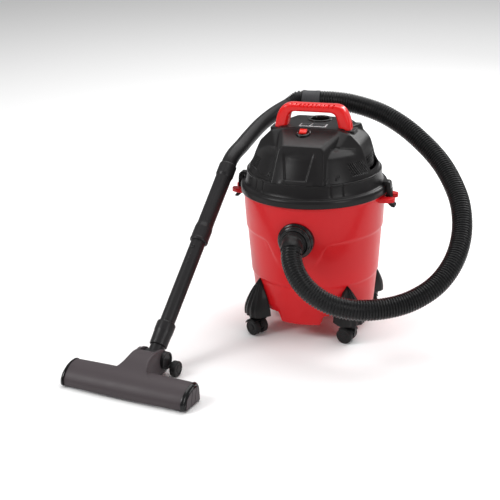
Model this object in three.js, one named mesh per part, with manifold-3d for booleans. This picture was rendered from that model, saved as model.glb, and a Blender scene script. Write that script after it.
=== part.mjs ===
// A wet and dry shop vacuum: a red tank on four casters, a black motor head held by two latches,
// a ribbed hose, and a bent grip, two wand tubes and a floor nozzle on its far end.
// Millimetres, +Z up, the vacuum's front is -Y. It stands on z = 0.
import * as THREE from 'three';
import { mergeVertices } from 'three/addons/utils/BufferGeometryUtils.js';
import { ConvexGeometry } from 'three/addons/geometries/ConvexGeometry.js';
import Module from 'manifold-3d';

const wasm = await Module();
wasm.setup();

// ---- Driving dimensions ---------------------------------------------------------------------
const ROUND = 40;                // sides of the largest rounds
const SMALL_ROUND = 28;          // sides of the parts inside
const GAP = 0.3;                 // clearance that touching pieces keep
const RIM_RADIUS = 175;          // head flange, the widest round of the body
const RIM_Z = 345;               // top of the tank's rim
const TANK_FLOOR_Z = 64;         // underside of the tank's floor
const SKIRT_Z = 38;              // lower edge of the tank's skirt
const INLET_Z = 259;             // height of the suction inlet's axis
const INLET_BORE = 25.3;         // radius of the socket for the hose cuff
const PLATE_Z = 352;             // underside of the head's floor plate
const BAND_TOP_Z = 390;          // seam between head base and head cover
const CONSOLE_TOP_Z = 489;       // flat top of the head
const HANDLE_TOP_Z = 541;        // top of the carrying handle
const HANDLE_DEPTH = 34;
const LATCH_X = 183;             // latch pivot, from the tank's axis
const LATCH_Z = 326;
const LATCH_WIDTH = 22;
const FOOT_RADIUS = 172;         // caster swivel axes, from the tank's axis
const FOOT_Z = 46;               // underside of the feet
const WHEEL_RADIUS = 19;
const CASTER_TRAIL = 13;         // wheel axle behind the swivel axis
const MOTOR_RADIUS = 58;
const FILTER_RADIUS = 82;
const CAGE_Z = 235;              // lower end of the float cage
const HOSE_RADIUS = 24;
const TUBE_WALL = 2.5;
const GRIP_RADIUS = 18.5;
const UPPER_TUBE_RADIUS = 19.5;
const LOWER_TUBE_RADIUS = 17.6;
const NOZZLE_PIVOT = new THREE.Vector3(-268, -403, 40);
const WAND_YAW = THREE.MathUtils.degToRad(-8.8);
const WAND_TILT = THREE.MathUtils.degToRad(-48.5);
const COLLAR_START = 30;         // lengths along the wand, from the nozzle's pivot
const LOWER_START = 88;
const TUBE_JOINT = 302;
const GRIP_JOINT = 518;
const NOZZLE_HALF_WIDTH = 158;
const NOZZLE_WHEEL_RADIUS = 18;
const BARREL_RADIUS = 20.3;
const ORIGIN_SHIFT = new THREE.Vector3(123.5, 170, 0);   // centres the whole outline on the origin

const RED = { color: 0xc8161c, roughness: 0.42, metalness: 0 };
const RED_GLOSS = { color: 0xe01a1e, roughness: 0.25, metalness: 0 };
const BLACK = { color: 0x161617, roughness: 0.5, metalness: 0 };
const BLACK_GLOSS = { color: 0x101011, roughness: 0.28, metalness: 0 };
const TUBE_BLACK = { color: 0x202021, roughness: 0.55, metalness: 0 };
const CUFF_GREY = { color: 0x4a4b4d, roughness: 0.55, metalness: 0 };
const NOZZLE_GREY = { color: 0x4b4445, roughness: 0.5, metalness: 0 };
const RUBBER = { color: 0x1b1b1b, roughness: 0.8, metalness: 0 };
const STEEL = { color: 0xb8babd, roughness: 0.3, metalness: 1 };
const COPPER = { color: 0xa5562c, roughness: 0.4, metalness: 0.9 };
const FOAM = { color: 0x2c3036, roughness: 0.95, metalness: 0 };
const SILVER = { color: 0xc9cbce, roughness: 0.25, metalness: 0.8 };
const BRISTLE = { color: 0x151515, roughness: 0.9, metalness: 0 };

// ---- Solids ---------------------------------------------------------------------------------
// A closed mesh from a geometry: shared vertices, no slivers, faces pointing out.
function closed(geometry) {
  const bare = geometry.index ? geometry.toNonIndexed() : geometry.clone();
  bare.deleteAttribute('normal');
  bare.deleteAttribute('uv');
  const merged = mergeVertices(bare, 1e-3);
  const source = merged.index.array;
  const kept = [];
  for (let i = 0; i < source.length; i += 3) {
    const [a, b, c] = [source[i], source[i + 1], source[i + 2]];
    if (a !== b && b !== c && c !== a) kept.push(a, b, c);
  }
  const at = (i) => new THREE.Vector3().fromBufferAttribute(merged.attributes.position, i);
  let volume = 0;
  for (let i = 0; i < kept.length; i += 3) {
    volume += at(kept[i]).dot(at(kept[i + 1]).cross(at(kept[i + 2])));
  }
  if (volume < 0) kept.reverse();
  merged.setIndex(kept);
  return merged;
}

function solid(geometry) {
  const mesh = closed(geometry);
  return new wasm.Manifold(new wasm.Mesh({
    numProp: 3,
    vertProperties: new Float32Array(mesh.attributes.position.array),
    triVerts: new Uint32Array(mesh.index.array),
  }));
}

function geometryOf(manifold) {
  const mesh = manifold.getMesh();
  const geometry = new THREE.BufferGeometry();
  geometry.setAttribute('position', new THREE.BufferAttribute(new Float32Array(mesh.vertProperties), 3));
  geometry.setIndex(Array.from(mesh.triVerts));
  return geometry;
}

const join = (...parts) => parts.reduce((sum, part) => sum.add(part));
const cut = (body, ...tools) => tools.reduce((rest, tool) => rest.subtract(tool), body);

// A solid of revolution about +Z from [radius, z] points.
function turned(points, segments = ROUND) {
  const profile = points.map(([r, z]) => new THREE.Vector2(r, z));
  return new THREE.LatheGeometry(profile, segments).rotateX(Math.PI / 2);
}

// A ring about +Z between two radii and two heights.
function ring(inner, outer, low, high, segments = ROUND) {
  return turned([[inner, low], [outer, low], [outer, high], [inner, high], [inner, low]], segments);
}

function disc(radius, low, high, segments = ROUND) {
  return turned([[0, low], [radius, low], [radius, high], [0, high]], segments);
}

function box(xs, ys, zs) {
  return new THREE.BoxGeometry(xs[1] - xs[0], ys[1] - ys[0], zs[1] - zs[0])
    .translate((xs[0] + xs[1]) / 2, (ys[0] + ys[1]) / 2, (zs[0] + zs[1]) / 2);
}

// A cylinder between two points.
function rod(from, to, radius, segments = 24, endRadius = radius) {
  const axis = new THREE.Vector3().subVectors(to, from);
  const way = axis.clone().normalize();
  const turn = new THREE.Quaternion().setFromUnitVectors(new THREE.Vector3(0, 1, 0), way);
  return new THREE.CylinderGeometry(endRadius, radius, axis.length(), segments)
    .translate(0, axis.length() / 2, 0)
    .applyQuaternion(turn)
    .translate(from.x, from.y, from.z);
}

function hull(points) {
  return new ConvexGeometry(points.map(([x, y, z]) => new THREE.Vector3(x, y, z)));
}

// A flat outline drawn in (y, z), made solid from x = low to x = high.
function sideOutline(points, low, high) {
  const shape = new THREE.Shape(points.map(([y, z]) => new THREE.Vector2(y, z)));
  return new THREE.ExtrudeGeometry(shape, { depth: high - low, bevelEnabled: false })
    .rotateX(Math.PI / 2)
    .rotateZ(Math.PI / 2)
    .translate(low, 0, 0);
}

// A flat outline drawn in (x, z), made solid from y = low to y = high.
function frontOutline(shape, low, high) {
  return new THREE.ExtrudeGeometry(shape, { depth: high - low, bevelEnabled: false, curveSegments: 5 })
    .rotateX(Math.PI / 2)
    .translate(0, high, 0);
}

function curveThrough(points) {
  const places = points.map(([x, y, z]) => new THREE.Vector3(x, y, z));
  return new THREE.CatmullRomCurve3(places, false, 'centripetal');
}

// A round bar or, with a bore, a round tube along a smooth curve through points.
function along(points, radius, bore, steps, sides = 16) {
  const section = new THREE.Shape().absarc(0, 0, radius, 0, Math.PI * 2);
  if (bore) section.holes.push(new THREE.Path().absarc(0, 0, bore, 0, Math.PI * 2));
  const extrudePath = curveThrough(points);
  return new THREE.ExtrudeGeometry(section, { extrudePath, steps, curveSegments: sides });
}

const group = new THREE.Group();
group.position.copy(ORIGIN_SHIFT);

function piece(name, shape, finish, parent = group) {
  const geometry = shape.isBufferGeometry ? closed(shape) : geometryOf(shape);
  geometry.computeVertexNormals();
  const mesh = new THREE.Mesh(geometry, new THREE.MeshStandardMaterial(finish));
  mesh.name = name;
  parent.add(mesh);
  return mesh;
}

// ---- Tank -----------------------------------------------------------------------------------
const TANK_OUTSIDE = [
  [140, SKIRT_Z], [144.5, 72], [150.5, 133], [153, 139], [161, 246], [163.5, 252], [168, 334],
];
const RIM_BEAD = [[171, 338], [171, RIM_Z]];
const TANK_INSIDE = [[165, RIM_Z], [165, 334], [158, 246], [147.5, 133], [141.5, 76], [134, 68]];

// The tank's outside as a full solid, grown by a clearance, to cut what is fitted against it.
function tankEnvelope(clearance) {
  const outside = TANK_OUTSIDE.map(([r, z]) => [r + clearance, z]);
  return solid(turned([[0, SKIRT_Z - 1], [140 + clearance, SKIRT_Z - 1], ...outside, [0, 334]]));
}

// The moulded panel round the inlet, which stands a little proud and narrows downwards.
function inletPanel(proud) {
  const skin = solid(turned([[150, 196], [160.8 + proud, 199], [163.5 + proud, 252], [165 + proud, 266],
    [150, 272], [150, 196]]));
  const front = new THREE.Shape([[-46, 196], [46, 196], [80, 272], [-80, 272]]
    .map(([x, z]) => new THREE.Vector2(x, z)));
  return skin.intersect(solid(frontOutline(front, -200, -60)));
}

function lug(side) {
  const slot = LATCH_WIDTH / 2 + 1.5;
  const shape = new THREE.Shape([[155, -38], [186, -36], [199, -26], [199, -slot], [172, -slot], [172, slot],
    [199, slot], [199, 26], [186, 36], [155, 38]].map(([x, y]) => new THREE.Vector2(x, y)));
  const plate = new THREE.ExtrudeGeometry(shape, { depth: 9, bevelEnabled: false })
    .translate(0, 0, LATCH_Z - 4.5);
  if (side < 0) plate.rotateZ(Math.PI);
  return solid(plate);
}

function pinBore(side) {
  const x = side * LATCH_X;
  return solid(rod(new THREE.Vector3(x, -24, LATCH_Z), new THREE.Vector3(x, 24, LATCH_Z), 2.8, 12));
}

// A round bar along the inlet's axis.
function frontRod(from, to, radius) {
  return solid(rod(new THREE.Vector3(0, from, INLET_Z), new THREE.Vector3(0, to, INLET_Z), radius, 32));
}

const footAngles = { front_left: -135, front_right: -45, rear_right: 45, rear_left: 135 };
const radians = THREE.MathUtils.degToRad;

function makeTank() {
  const shell = solid(turned([[0, TANK_FLOOR_Z], [134, TANK_FLOOR_Z], [136, SKIRT_Z], ...TANK_OUTSIDE,
    ...RIM_BEAD, ...TANK_INSIDE, [0, 68]]));
  let body = join(shell, inletPanel(0), lug(-1), lug(1));
  const inside = solid(turned([[0, 76], [141.5, 76], [147.5, 133], [158, 246], [165, 334], [165, 360],
    [0, 360]]));
  body = cut(body, inside);
  const inlet = frontRod(-120, -220, 33 + GAP);
  const arches = Object.values(footAngles).map((angle) => solid(
    box([110, 160], [-62, 62], [SKIRT_Z - 5, 61]).rotateZ(radians(angle))));
  return cut(body, inlet, pinBore(-1), pinBore(1), ...arches);
}

piece('tank', makeTank(), RED);

// ---- Inlet ----------------------------------------------------------------------------------
function makeInletCollar() {
  const profile = [[INLET_BORE, -148], [33, -148], [33, -150], [39, -150], [39, -176], [36, -181],
    [32, -182], [31, -185], [INLET_BORE, -185], [INLET_BORE, -148]];
  const body = solid(turned(profile.map(([r, y]) => [r, -y]), 32)
    .rotateX(Math.PI / 2)
    .translate(0, 0, INLET_Z));
  const neck = frontRod(-140, -190, 33);
  const wall = join(tankEnvelope(GAP), inletPanel(GAP));
  return cut(body, cut(wall, neck));
}
piece('inlet_collar', makeInletCollar(), BLACK_GLOSS);

function makeDeflector() {
  const outline = [[-147.5, 300], [-128, 297], [-112, 286], [-103, 268], [-100, 240], [-103, 240],
    [-106, 267], [-114, 283], [-129, 294], [-147.5, 297]];
  return sideOutline(outline, -34, 34);
}
piece('inlet_deflector', makeDeflector(), BLACK);

// ---- Feet and casters -----------------------------------------------------------------------
// Each is drawn pointing along +X and turned to its corner.
function makeFoot(angle) {
  const side = new THREE.Shape([[120, FOOT_Z], [190, FOOT_Z], [190, 60], [183, 80], [166, 112], [153, 133],
    [140, 133], [140, 60.5], [120, 60.5]].map(([x, z]) => new THREE.Vector2(x, z)));
  const fin = solid(frontOutline(side, -34, 34));
  const arch = hull([[100, -34, FOOT_Z - 1], [100, 34, FOOT_Z - 1], [100, -31, 66], [100, 31, 66],
    [100, -18, 104], [100, 18, 104], [100, 0, 134],
    [200, -34, FOOT_Z - 1], [200, 34, FOOT_Z - 1], [200, -31, 66], [200, 31, 66],
    [200, -18, 104], [200, 18, 104], [200, 0, 134]]);
  const tip = new THREE.Vector3(FOOT_RADIUS, 0, FOOT_Z - 2);
  const stem = solid(rod(tip, tip.clone().setZ(68), 5.3, 16));
  const skirt = solid(ring(134, 160, 61 - GAP, 140));
  const above = tankEnvelope(GAP).intersect(solid(box([0, 200], [-60, 60], [60.7, 200])));
  const body = cut(fin.intersect(solid(arch)), stem, skirt.intersect(above), above);
  return geometryOf(body).rotateZ(angle);
}

// Twin-wheel caster drawn about its swivel axis, trailing along -X, then turned by its yaw.
function makeCasterHood() {
  const web = new THREE.Shape();
  web.moveTo(-CASTER_TRAIL - 7, 12);
  web.absarc(-CASTER_TRAIL, WHEEL_RADIUS, 20.5, Math.PI, Math.PI * 0.12, true);
  web.lineTo(6, 14);
  web.lineTo(-CASTER_TRAIL + 7, 12);
  const plate = solid(frontOutline(web, -3.2, 3.2));
  const centre = new THREE.Vector3(-CASTER_TRAIL, 0, WHEEL_RADIUS);
  const across = (half, radius) => solid(rod(new THREE.Vector3(centre.x, -half, centre.z),
    new THREE.Vector3(centre.x, half, centre.z), radius, 16));
  const upperHalf = solid(box([-50, 30], [-30, 30], [27, 60]));
  const fender = cut(across(21, 23.2), across(22, 20.5)).intersect(upperHalf);
  const boss = solid(disc(10, 38.4, FOOT_Z - GAP, 12));
  const stem = solid(disc(5, 40, 60, 12));
  return cut(join(plate, fender, boss, stem), across(30, 2.9));
}

function makeCasterWheels() {
  const r = WHEEL_RADIUS;
  const profile = [[0, -20], [r - 3, -20], [r, -17], [r, -4], [2.5, -4], [2.5, 4], [r, 4], [r, 17],
    [r - 3, 20], [0, 20]];
  return turned(profile, 18).rotateX(Math.PI / 2);
}

const casterYaw = { front_left: 150, front_right: -10, rear_right: 20, rear_left: 160 };
for (const [corner, angle] of Object.entries(footAngles)) {
  piece(`foot_${corner}`, makeFoot(radians(angle)), BLACK);
  const swivel = new THREE.Group();
  swivel.position.set(FOOT_RADIUS * Math.cos(radians(angle)), FOOT_RADIUS * Math.sin(radians(angle)), 0);
  swivel.rotation.z = radians(casterYaw[corner]);
  group.add(swivel);
  piece(`caster_hood_${corner}`, makeCasterHood(), BLACK, swivel);
  piece(`caster_wheels_${corner}`, makeCasterWheels(), RUBBER, swivel)
    .position.set(-CASTER_TRAIL, 0, WHEEL_RADIUS);
}

// ---- Latches --------------------------------------------------------------------------------
// Drawn on the +X side, with its pivot at the origin.
function makeLatch() {
  const side = new THREE.Shape([[-7, -8], [-4, -12], [6, -22], [14, -22], [14, -18], [5, -8], [4, 28],
    [2, 37], [-2, 40], [-16, 40], [-16, 33], [-7, 33]].map(([x, z]) => new THREE.Vector2(x, z)));
  const plate = solid(frontOutline(side, -LATCH_WIDTH / 2, LATCH_WIDTH / 2));
  return cut(plate, solid(rod(new THREE.Vector3(0, -20, 0), new THREE.Vector3(0, 20, 0), 2.8, 12)));
}

function addLatch(name, side) {
  const place = new THREE.Group();
  place.position.set(side * LATCH_X, 0, LATCH_Z);
  place.rotation.z = side > 0 ? 0 : Math.PI;
  group.add(place);
  piece(`latch_${name}`, makeLatch(), BLACK, place);
  const pin = rod(new THREE.Vector3(0, -22, 0), new THREE.Vector3(0, 22, 0), 2.5, 12);
  piece(`latch_pin_${name}`, pin, STEEL, place);
}
addLatch('left', -1);
addLatch('right', 1);

// ---- Head -----------------------------------------------------------------------------------
function makeHeadBase() {
  return turned([[RIM_RADIUS, 338], [RIM_RADIUS, 352], [172, 357], [166, 358.5], [162.5, 364],
    [158, BAND_TOP_Z - GAP], [155, BAND_TOP_Z - GAP], [159, 366], [159, PLATE_Z + 4], [68, PLATE_Z + 4],
    [68, PLATE_Z], [152, PLATE_Z], [152, 330], [155, 330], [155, 349], [171.5, 349], [171.5, 338],
    [RIM_RADIUS, 338]]);
}
piece('head_base', makeHeadBase(), BLACK);
piece('tank_gasket', ring(158, 170.8, RIM_Z + GAP, 349 - GAP), RUBBER);

const ventWindow = (side, clearance) => {
  const x = [118, 170].map((value) => side * value).sort((a, b) => a - b);
  return solid(box(x, [-40 - clearance, 40 + clearance], [398 - clearance, 430 + clearance]));
};

function makeHeadCover() {
  const dome = solid(turned([[0, 391], [157.5, 391], [151, 397], [141, 425], [129, 441], [112, 452],
    [0, 460]]));
  const foot = solid(ring(154, 157.8, BAND_TOP_Z, 393));
  const slope = solid(hull([[-53, -110, 466], [53, -110, 466], [-62, -22, CONSOLE_TOP_Z],
    [62, -22, CONSOLE_TOP_Z], [-60, -149, 397], [60, -149, 397], [-68, -20, 430], [68, -20, 430]]));
  const pedestal = solid(hull([[-96, -26, 481], [96, -26, 481], [-96, 62, 481], [96, 62, 481],
    [-62, -24, CONSOLE_TOP_Z], [62, -24, CONSOLE_TOP_Z], [-62, 92, CONSOLE_TOP_Z], [62, 92, CONSOLE_TOP_Z],
    [-121, -34, 457], [121, -34, 457], [-121, 60, 457], [121, 60, 457], [-132, -30, 430], [132, -30, 430],
    [-132, 50, 430], [132, 50, 430], [-60, 118, 466], [60, 118, 466], [-64, 128, 430], [64, 128, 430]]));
  const hollow = solid(turned([[0, 380], [154.5, 380], [154.5, 391], [148, 396], [138, 424], [126.5, 439],
    [110.5, 449], [0, 456.5]]));
  const port = solid(disc(24.3, 440, 520, 32).translate(0, 58, 0));
  const body = cut(join(dome, foot, slope, pedestal), hollow, port);
  return cut(body, ventWindow(-1, 0), ventWindow(1, 0));
}
piece('head_cover', makeHeadCover(), BLACK);

function makeVent(side) {
  const grille = solid(ring(128, 135, 395, 434));
  return grille.intersect(ventWindow(side, -GAP));
}
piece('vent_left', makeVent(-1), BLACK);
piece('vent_right', makeVent(1), BLACK);

function makeBlowerPort() {
  return turned([[21, 462], [24, 462], [24, CONSOLE_TOP_Z + GAP], [30, CONSOLE_TOP_Z + GAP],
    [29, CONSOLE_TOP_Z + 3], [22, CONSOLE_TOP_Z + 3], [21, 486], [21, 462]], 32).translate(0, 58, 0);
}
piece('blower_port', makeBlowerPort(), BLACK_GLOSS);

function makeCarryHandle() {
  const base = 481 + GAP;
  const outer = new THREE.Shape();
  outer.moveTo(-92, base);
  outer.lineTo(-88, 508);
  outer.quadraticCurveTo(-84, HANDLE_TOP_Z, -58, HANDLE_TOP_Z);
  outer.lineTo(58, HANDLE_TOP_Z);
  outer.quadraticCurveTo(84, HANDLE_TOP_Z, 88, 508);
  outer.lineTo(92, base);
  outer.lineTo(64, base);
  outer.lineTo(57, 512);
  outer.quadraticCurveTo(55, 523, 44, 523);
  outer.lineTo(-44, 523);
  outer.quadraticCurveTo(-55, 523, -57, 512);
  outer.lineTo(-64, base);
  const bar = solid(frontOutline(outer, -HANDLE_DEPTH / 2, HANDLE_DEPTH / 2));
  const deck = solid(box([-62.5, 62.5], [-30, 30], [470, CONSOLE_TOP_Z + 1]));
  return cut(bar, deck, pedestalSlope(-1), pedestalSlope(1));
}

// The shoulder between the deck and the handle's seat, grown a little so that the legs clear it.
function pedestalSlope(side) {
  const xs = [62, 96].map((value) => side * value);
  const ends = [-30, 30].flatMap((y) => [[xs[0], y, CONSOLE_TOP_Z + GAP], [xs[1], y, 481 + GAP],
    [xs[0], y, 470], [xs[1], y, 470]]);
  return solid(hull(ends));
}
piece('carry_handle', makeCarryHandle(), RED_GLOSS);

// The sloping console: its plane runs from the deck's front edge down to the front face.
const CONSOLE_SLOPE = Math.atan2(CONSOLE_TOP_Z - 466, 110 - 22);
const consolePlane = new THREE.Group();
consolePlane.position.set(0, -66, (466 + CONSOLE_TOP_Z) / 2);
consolePlane.rotation.x = CONSOLE_SLOPE;
group.add(consolePlane);

piece('badge_plate', box([-32, 32], [-17, 9], [CONSOLE_TOP_Z + GAP, CONSOLE_TOP_Z + 1.8]), SILVER);

function makeSwitchBezel() {
  return cut(solid(disc(17.5, GAP, 4, 24)), solid(box([-9, 9], [-7.5, 7.5], [1.6, 10])));
}
const switchSeat = new THREE.Group();
switchSeat.position.set(-12, 15, 0);
consolePlane.add(switchSeat);
piece('switch_bezel', makeSwitchBezel(), BLACK_GLOSS, switchSeat);

function makeRocker() {
  const outline = [[-7, 3.2], [-7, 7.5], [-3, 6], [0, 5.6], [3, 6.6], [7, 9], [7, 3.2], [0, 2.2]];
  return sideOutline(outline, -8.4, 8.4);
}
piece('switch_rocker', makeRocker(), RED_GLOSS, switchSeat);

piece('cord_gland', rod(new THREE.Vector3(0, 150.4, 415), new THREE.Vector3(0, 166, 415), 9, 16, 7), BLACK);

// ---- Motor, in the head -----------------------------------------------------------------------
piece('fan_housing', turned([[20, 345], [64, 345], [64, 373], [66.5, 374], [66.5, 376], [61.5, 376],
  [61.5, 348], [20, 348], [20, 345]], SMALL_ROUND), STEEL);
piece('fan', turned([[4 + GAP, 352], [56, 352], [56, 353.5], [22, 366], [9, 370], [4 + GAP, 370],
  [4 + GAP, 352]], 20), STEEL);
piece('motor_casing', turned([[14, 376 + GAP], [66.5, 376 + GAP], [66.5, 379], [MOTOR_RADIUS, 380],
  [MOTOR_RADIUS, 436], [46, 446], [14, 446], [14, 443], [44, 443], [55, 434], [55, 379.5], [14, 379.5],
  [14, 376 + GAP]], SMALL_ROUND), BLACK);
piece('stator', ring(31, 54.5, 388, 424, SMALL_ROUND), STEEL);
piece('rotor', turned([[0, 347], [4, 347], [4, 390], [29, 390], [29, 422], [15, 424], [15, 432], [4, 432],
  [4, 450], [0, 450]], 20), COPPER);
piece('bearing_lower', ring(4 + GAP, 13.7, 381, 386, 20), STEEL);
piece('bearing_upper', ring(4 + GAP, 13.7, 437, 445, 20), STEEL);

// ---- Float valve and filter, under the head -----------------------------------------------------
function makeFloatCage() {
  const wall = solid(turned([[0, CAGE_Z], [72, CAGE_Z], [72, 346], [84, 348], [84, PLATE_Z - GAP],
    [69, PLATE_Z - GAP], [69, CAGE_Z + 3], [0, CAGE_Z + 3]], SMALL_ROUND));
  const slots = [0, 45, 90, 135].map((angle) => solid(
    box([-90, 90], [-11, 11], [CAGE_Z + 18, 330]).rotateZ(radians(angle))));
  return cut(wall, ...slots);
}
piece('float_cage', makeFloatCage(), BLACK);
const floatValve = turned([[0, CAGE_Z + 4], [30, CAGE_Z + 4], [38, 250], [38, 285], [28, 298], [0, 302]], 24);
piece('float_valve', floatValve, RED);
piece('foam_filter', ring(72 + GAP, FILTER_RADIUS, CAGE_Z + 1, 345, SMALL_ROUND), FOAM);
piece('filter_ring', ring(FILTER_RADIUS + GAP, 85, 326, 336, SMALL_ROUND), BLACK);

// ---- Hose, with the cuff in the inlet and the cuff at the grip ----------------------------------
const HOSE_ROUTE = [
  [1.5, -205.5, 252.5], [5, -221.5, 239], [14.5, -238.5, 222.5], [30, -254.5, 204.5], [51.5, -267.5, 187],
  [79, -275.5, 171], [116, -277, 156], [160, -267, 146], [214, -239, 142], [271, -195, 148], [320, -145, 172],
  [349, -88, 209], [357, -25, 255], [343, 38, 306], [314, 90, 345], [277, 134, 380],
  [229, 172, 413], [172, 202, 446], [108, 220, 473], [34, 224, 491], [-8, 219.5, 496], [-40, 214.5, 497],
];
const hoseLine = curveThrough(HOSE_ROUTE);
const offStart = (length) => hoseLine.getPoint(0).addScaledVector(hoseLine.getTangent(0), -length);
const offEnd = (length) => hoseLine.getPoint(1).addScaledVector(hoseLine.getTangent(1), length);
// The cuff runs straight out of the socket, then turns down and a little to +X, along part of a circle.
const CUFF_TURN = radians(40.6);
const CUFF_LEAN = radians(14);
const CUFF_TURN_RADIUS = 30;
const CUFF_STRAIGHT_Y = -187;
const CUFF_LINE = [[0, -156, INLET_Z], [0, -170, INLET_Z]];
for (let i = 0; i <= 6; i += 1) {
  const turn = CUFF_TURN * i / 6;
  const aside = CUFF_TURN_RADIUS * (1 - Math.cos(turn));
  CUFF_LINE.push([aside * Math.sin(CUFF_LEAN), CUFF_STRAIGHT_Y - CUFF_TURN_RADIUS * Math.sin(turn),
    INLET_Z - aside * Math.cos(CUFF_LEAN)]);
}
const CUFF_LENGTH = 46;

// All that lies past a plane, as far as a cuff reaches.
function past(point, direction) {
  return solid(rod(point, point.clone().addScaledVector(direction, 40), 45));
}

function makeHoseCuff() {
  const tube = solid(along(CUFF_LINE, INLET_BORE - 0.9, 20.5, 12, 9));
  const stop = solid(ring(22, 29.5, 185.5, 190, 32).rotateX(Math.PI / 2).translate(0, 0, INLET_Z));
  return cut(join(tube, stop), past(offStart(GAP), hoseLine.getTangent(0)));
}
piece('hose_cuff', makeHoseCuff(), BLACK);
piece('hose', along(HOSE_ROUTE, HOSE_RADIUS, HOSE_RADIUS - TUBE_WALL, 44, 5), TUBE_BLACK);

function tubeBetween(from, to, radius, bore, endRadius = radius) {
  const end = new THREE.Vector3().subVectors(to, from).normalize();
  const hole = rod(from.clone().sub(end), to.clone().add(end), bore, 24);
  return cut(solid(rod(from, to, radius, 24, endRadius)), solid(hole));
}
piece('hose_end_cuff', tubeBetween(offEnd(GAP), offEnd(CUFF_LENGTH), 24.5, 15), CUFF_GREY);

// ---- Grip and bend relief, turning in the hose's end cuff ---------------------------------------
const wandUp = new THREE.Vector3(0, 0, 1).applyAxisAngle(new THREE.Vector3(1, 0, 0), WAND_TILT)
  .applyAxisAngle(new THREE.Vector3(0, 0, 1), WAND_YAW);
const onWand = (length) => wandUp.clone().multiplyScalar(length).add(NOZZLE_PIVOT);
const GRIP_ROUTE = [
  offEnd(CUFF_LENGTH - 2).toArray(), offEnd(CUFF_LENGTH + 10).toArray(),
  [-114, 197, 487], [-146, 170, 469], [-170, 134, 450], [-186, 88, 430], [-196, 46, 414], [-203, 14, 404],
  onWand(GRIP_JOINT + 14).toArray(), onWand(GRIP_JOINT + GAP).toArray(),
];
const gripLine = curveThrough(GRIP_ROUTE);
const gripStretch = (from, to, count) => Array.from({ length: count + 1 },
  (_, i) => gripLine.getPointAt(from + (to - from) * i / count).toArray());
const RELIEF_SHARE = 0.1;        // part of the grip's line that the ribbed bend relief takes
const reliefEnd = gripLine.getPointAt(RELIEF_SHARE);
const reliefWay = gripLine.getTangentAt(RELIEF_SHARE);

function makeBendRelief() {
  const tube = solid(along(gripStretch(0, RELIEF_SHARE + 0.01, 4), 21.5, 15, 4, 7));
  const cuffEnd = offEnd(CUFF_LENGTH + GAP);
  return cut(tube, past(cuffEnd, hoseLine.getTangent(1).negate()), past(reliefEnd, reliefWay));
}
piece('bend_relief', makeBendRelief(), TUBE_BLACK);

function makeGrip() {
  const stretch = gripStretch(RELIEF_SHARE - 0.01, 1, 18);
  const tube = solid(along(stretch, GRIP_RADIUS, GRIP_RADIUS - TUBE_WALL, 18, 7));
  const start = reliefEnd.clone().addScaledVector(reliefWay, GAP);
  return cut(tube, past(start, reliefWay.clone().negate()));
}
piece('grip', makeGrip(), TUBE_BLACK);

// ---- Nozzle and wand --------------------------------------------------------------------------
const nozzleGroup = new THREE.Group();
nozzleGroup.position.copy(NOZZLE_PIVOT);
nozzleGroup.rotation.z = WAND_YAW;
group.add(nozzleGroup);
const wandGroup = new THREE.Group();
wandGroup.rotation.x = WAND_TILT;
nozzleGroup.add(wandGroup);

function steppedTube(points, bore) {
  const inside = [[bore, points.at(-1)[1]], [bore, points[0][1]]];
  return turned([...points, ...inside, points[0]], 24);
}
const upperBore = LOWER_TUBE_RADIUS + GAP;
const upperTube = steppedTube([[22, TUBE_JOINT], [22, TUBE_JOINT + 40], [UPPER_TUBE_RADIUS, TUBE_JOINT + 46],
  [UPPER_TUBE_RADIUS, GRIP_JOINT - 34], [21.5, GRIP_JOINT - 30], [21.5, GRIP_JOINT]], upperBore);
piece('wand_upper', upperTube, TUBE_BLACK, wandGroup);

const BUTTON_AT = TUBE_JOINT - 20;
function makeLowerTube() {
  const radius = LOWER_TUBE_RADIUS;
  const inner = radius - TUBE_WALL;
  const tube = solid(steppedTube([[radius, LOWER_START], [radius, TUBE_JOINT + 38]], inner));
  const well = rod(new THREE.Vector3(0, -8, BUTTON_AT), new THREE.Vector3(0, -30, BUTTON_AT), 4.3, 12);
  return cut(tube, solid(well));
}
piece('wand_lower', makeLowerTube(), TUBE_BLACK, wandGroup);
const button = rod(new THREE.Vector3(0, -15.4, BUTTON_AT), new THREE.Vector3(0, -19.6, BUTTON_AT), 4, 12);
piece('wand_button', button, BLACK_GLOSS, wandGroup);

// A round bar along the nozzle's width, from one x to another, at a given y and z.
function acrossRod(from, to, y, z, radius, sides) {
  return solid(rod(new THREE.Vector3(from, y, z), new THREE.Vector3(to, y, z), radius, sides));
}

function makeElbow() {
  const barrel = acrossRod(-38, 38, 0, 0, BARREL_RADIUS, 28);
  const neck = solid(disc(17.5, 0, COLLAR_START, 24));
  const collar = solid(rod(new THREE.Vector3(0, 0, COLLAR_START), new THREE.Vector3(0, 0, LOWER_START),
    20, 24, 22));
  const bore = solid(disc(14.5, 0, LOWER_START + 1, 24));
  const mouth = solid(rod(new THREE.Vector3(0, 0, 0), new THREE.Vector3(0, -30, 0), 13, 20)
    .rotateX(-WAND_TILT));
  const socket = solid(disc(LOWER_TUBE_RADIUS + GAP, LOWER_START - GAP, LOWER_START + 2, 24));
  return cut(join(barrel, neck, collar), bore, mouth, socket);
}
piece('elbow', makeElbow(), TUBE_BLACK, wandGroup);

// The nozzle is drawn about its pivot, with its width along X and its front towards -Y.
const NOZZLE_FLOOR = -NOZZLE_PIVOT.z;
const AXLE_Y = 12;
const AXLE_Z = NOZZLE_FLOOR + NOZZLE_WHEEL_RADIUS;
const AXLE_RADIUS = 3;
const BODY_SECTION = [[-142, -36], [-143, -20], [-134, -7], [-116, 4], [-97, 9], [-78, 8], [-68, -2],
  [-66, -36]];
const BODY_HOLLOW = [[-138.5, -37], [-139, -21], [-131, -10.5], [-115, 0.5], [-97, 5.5], [-80, 4.5],
  [-71.5, -4], [-70, -37]];

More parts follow.
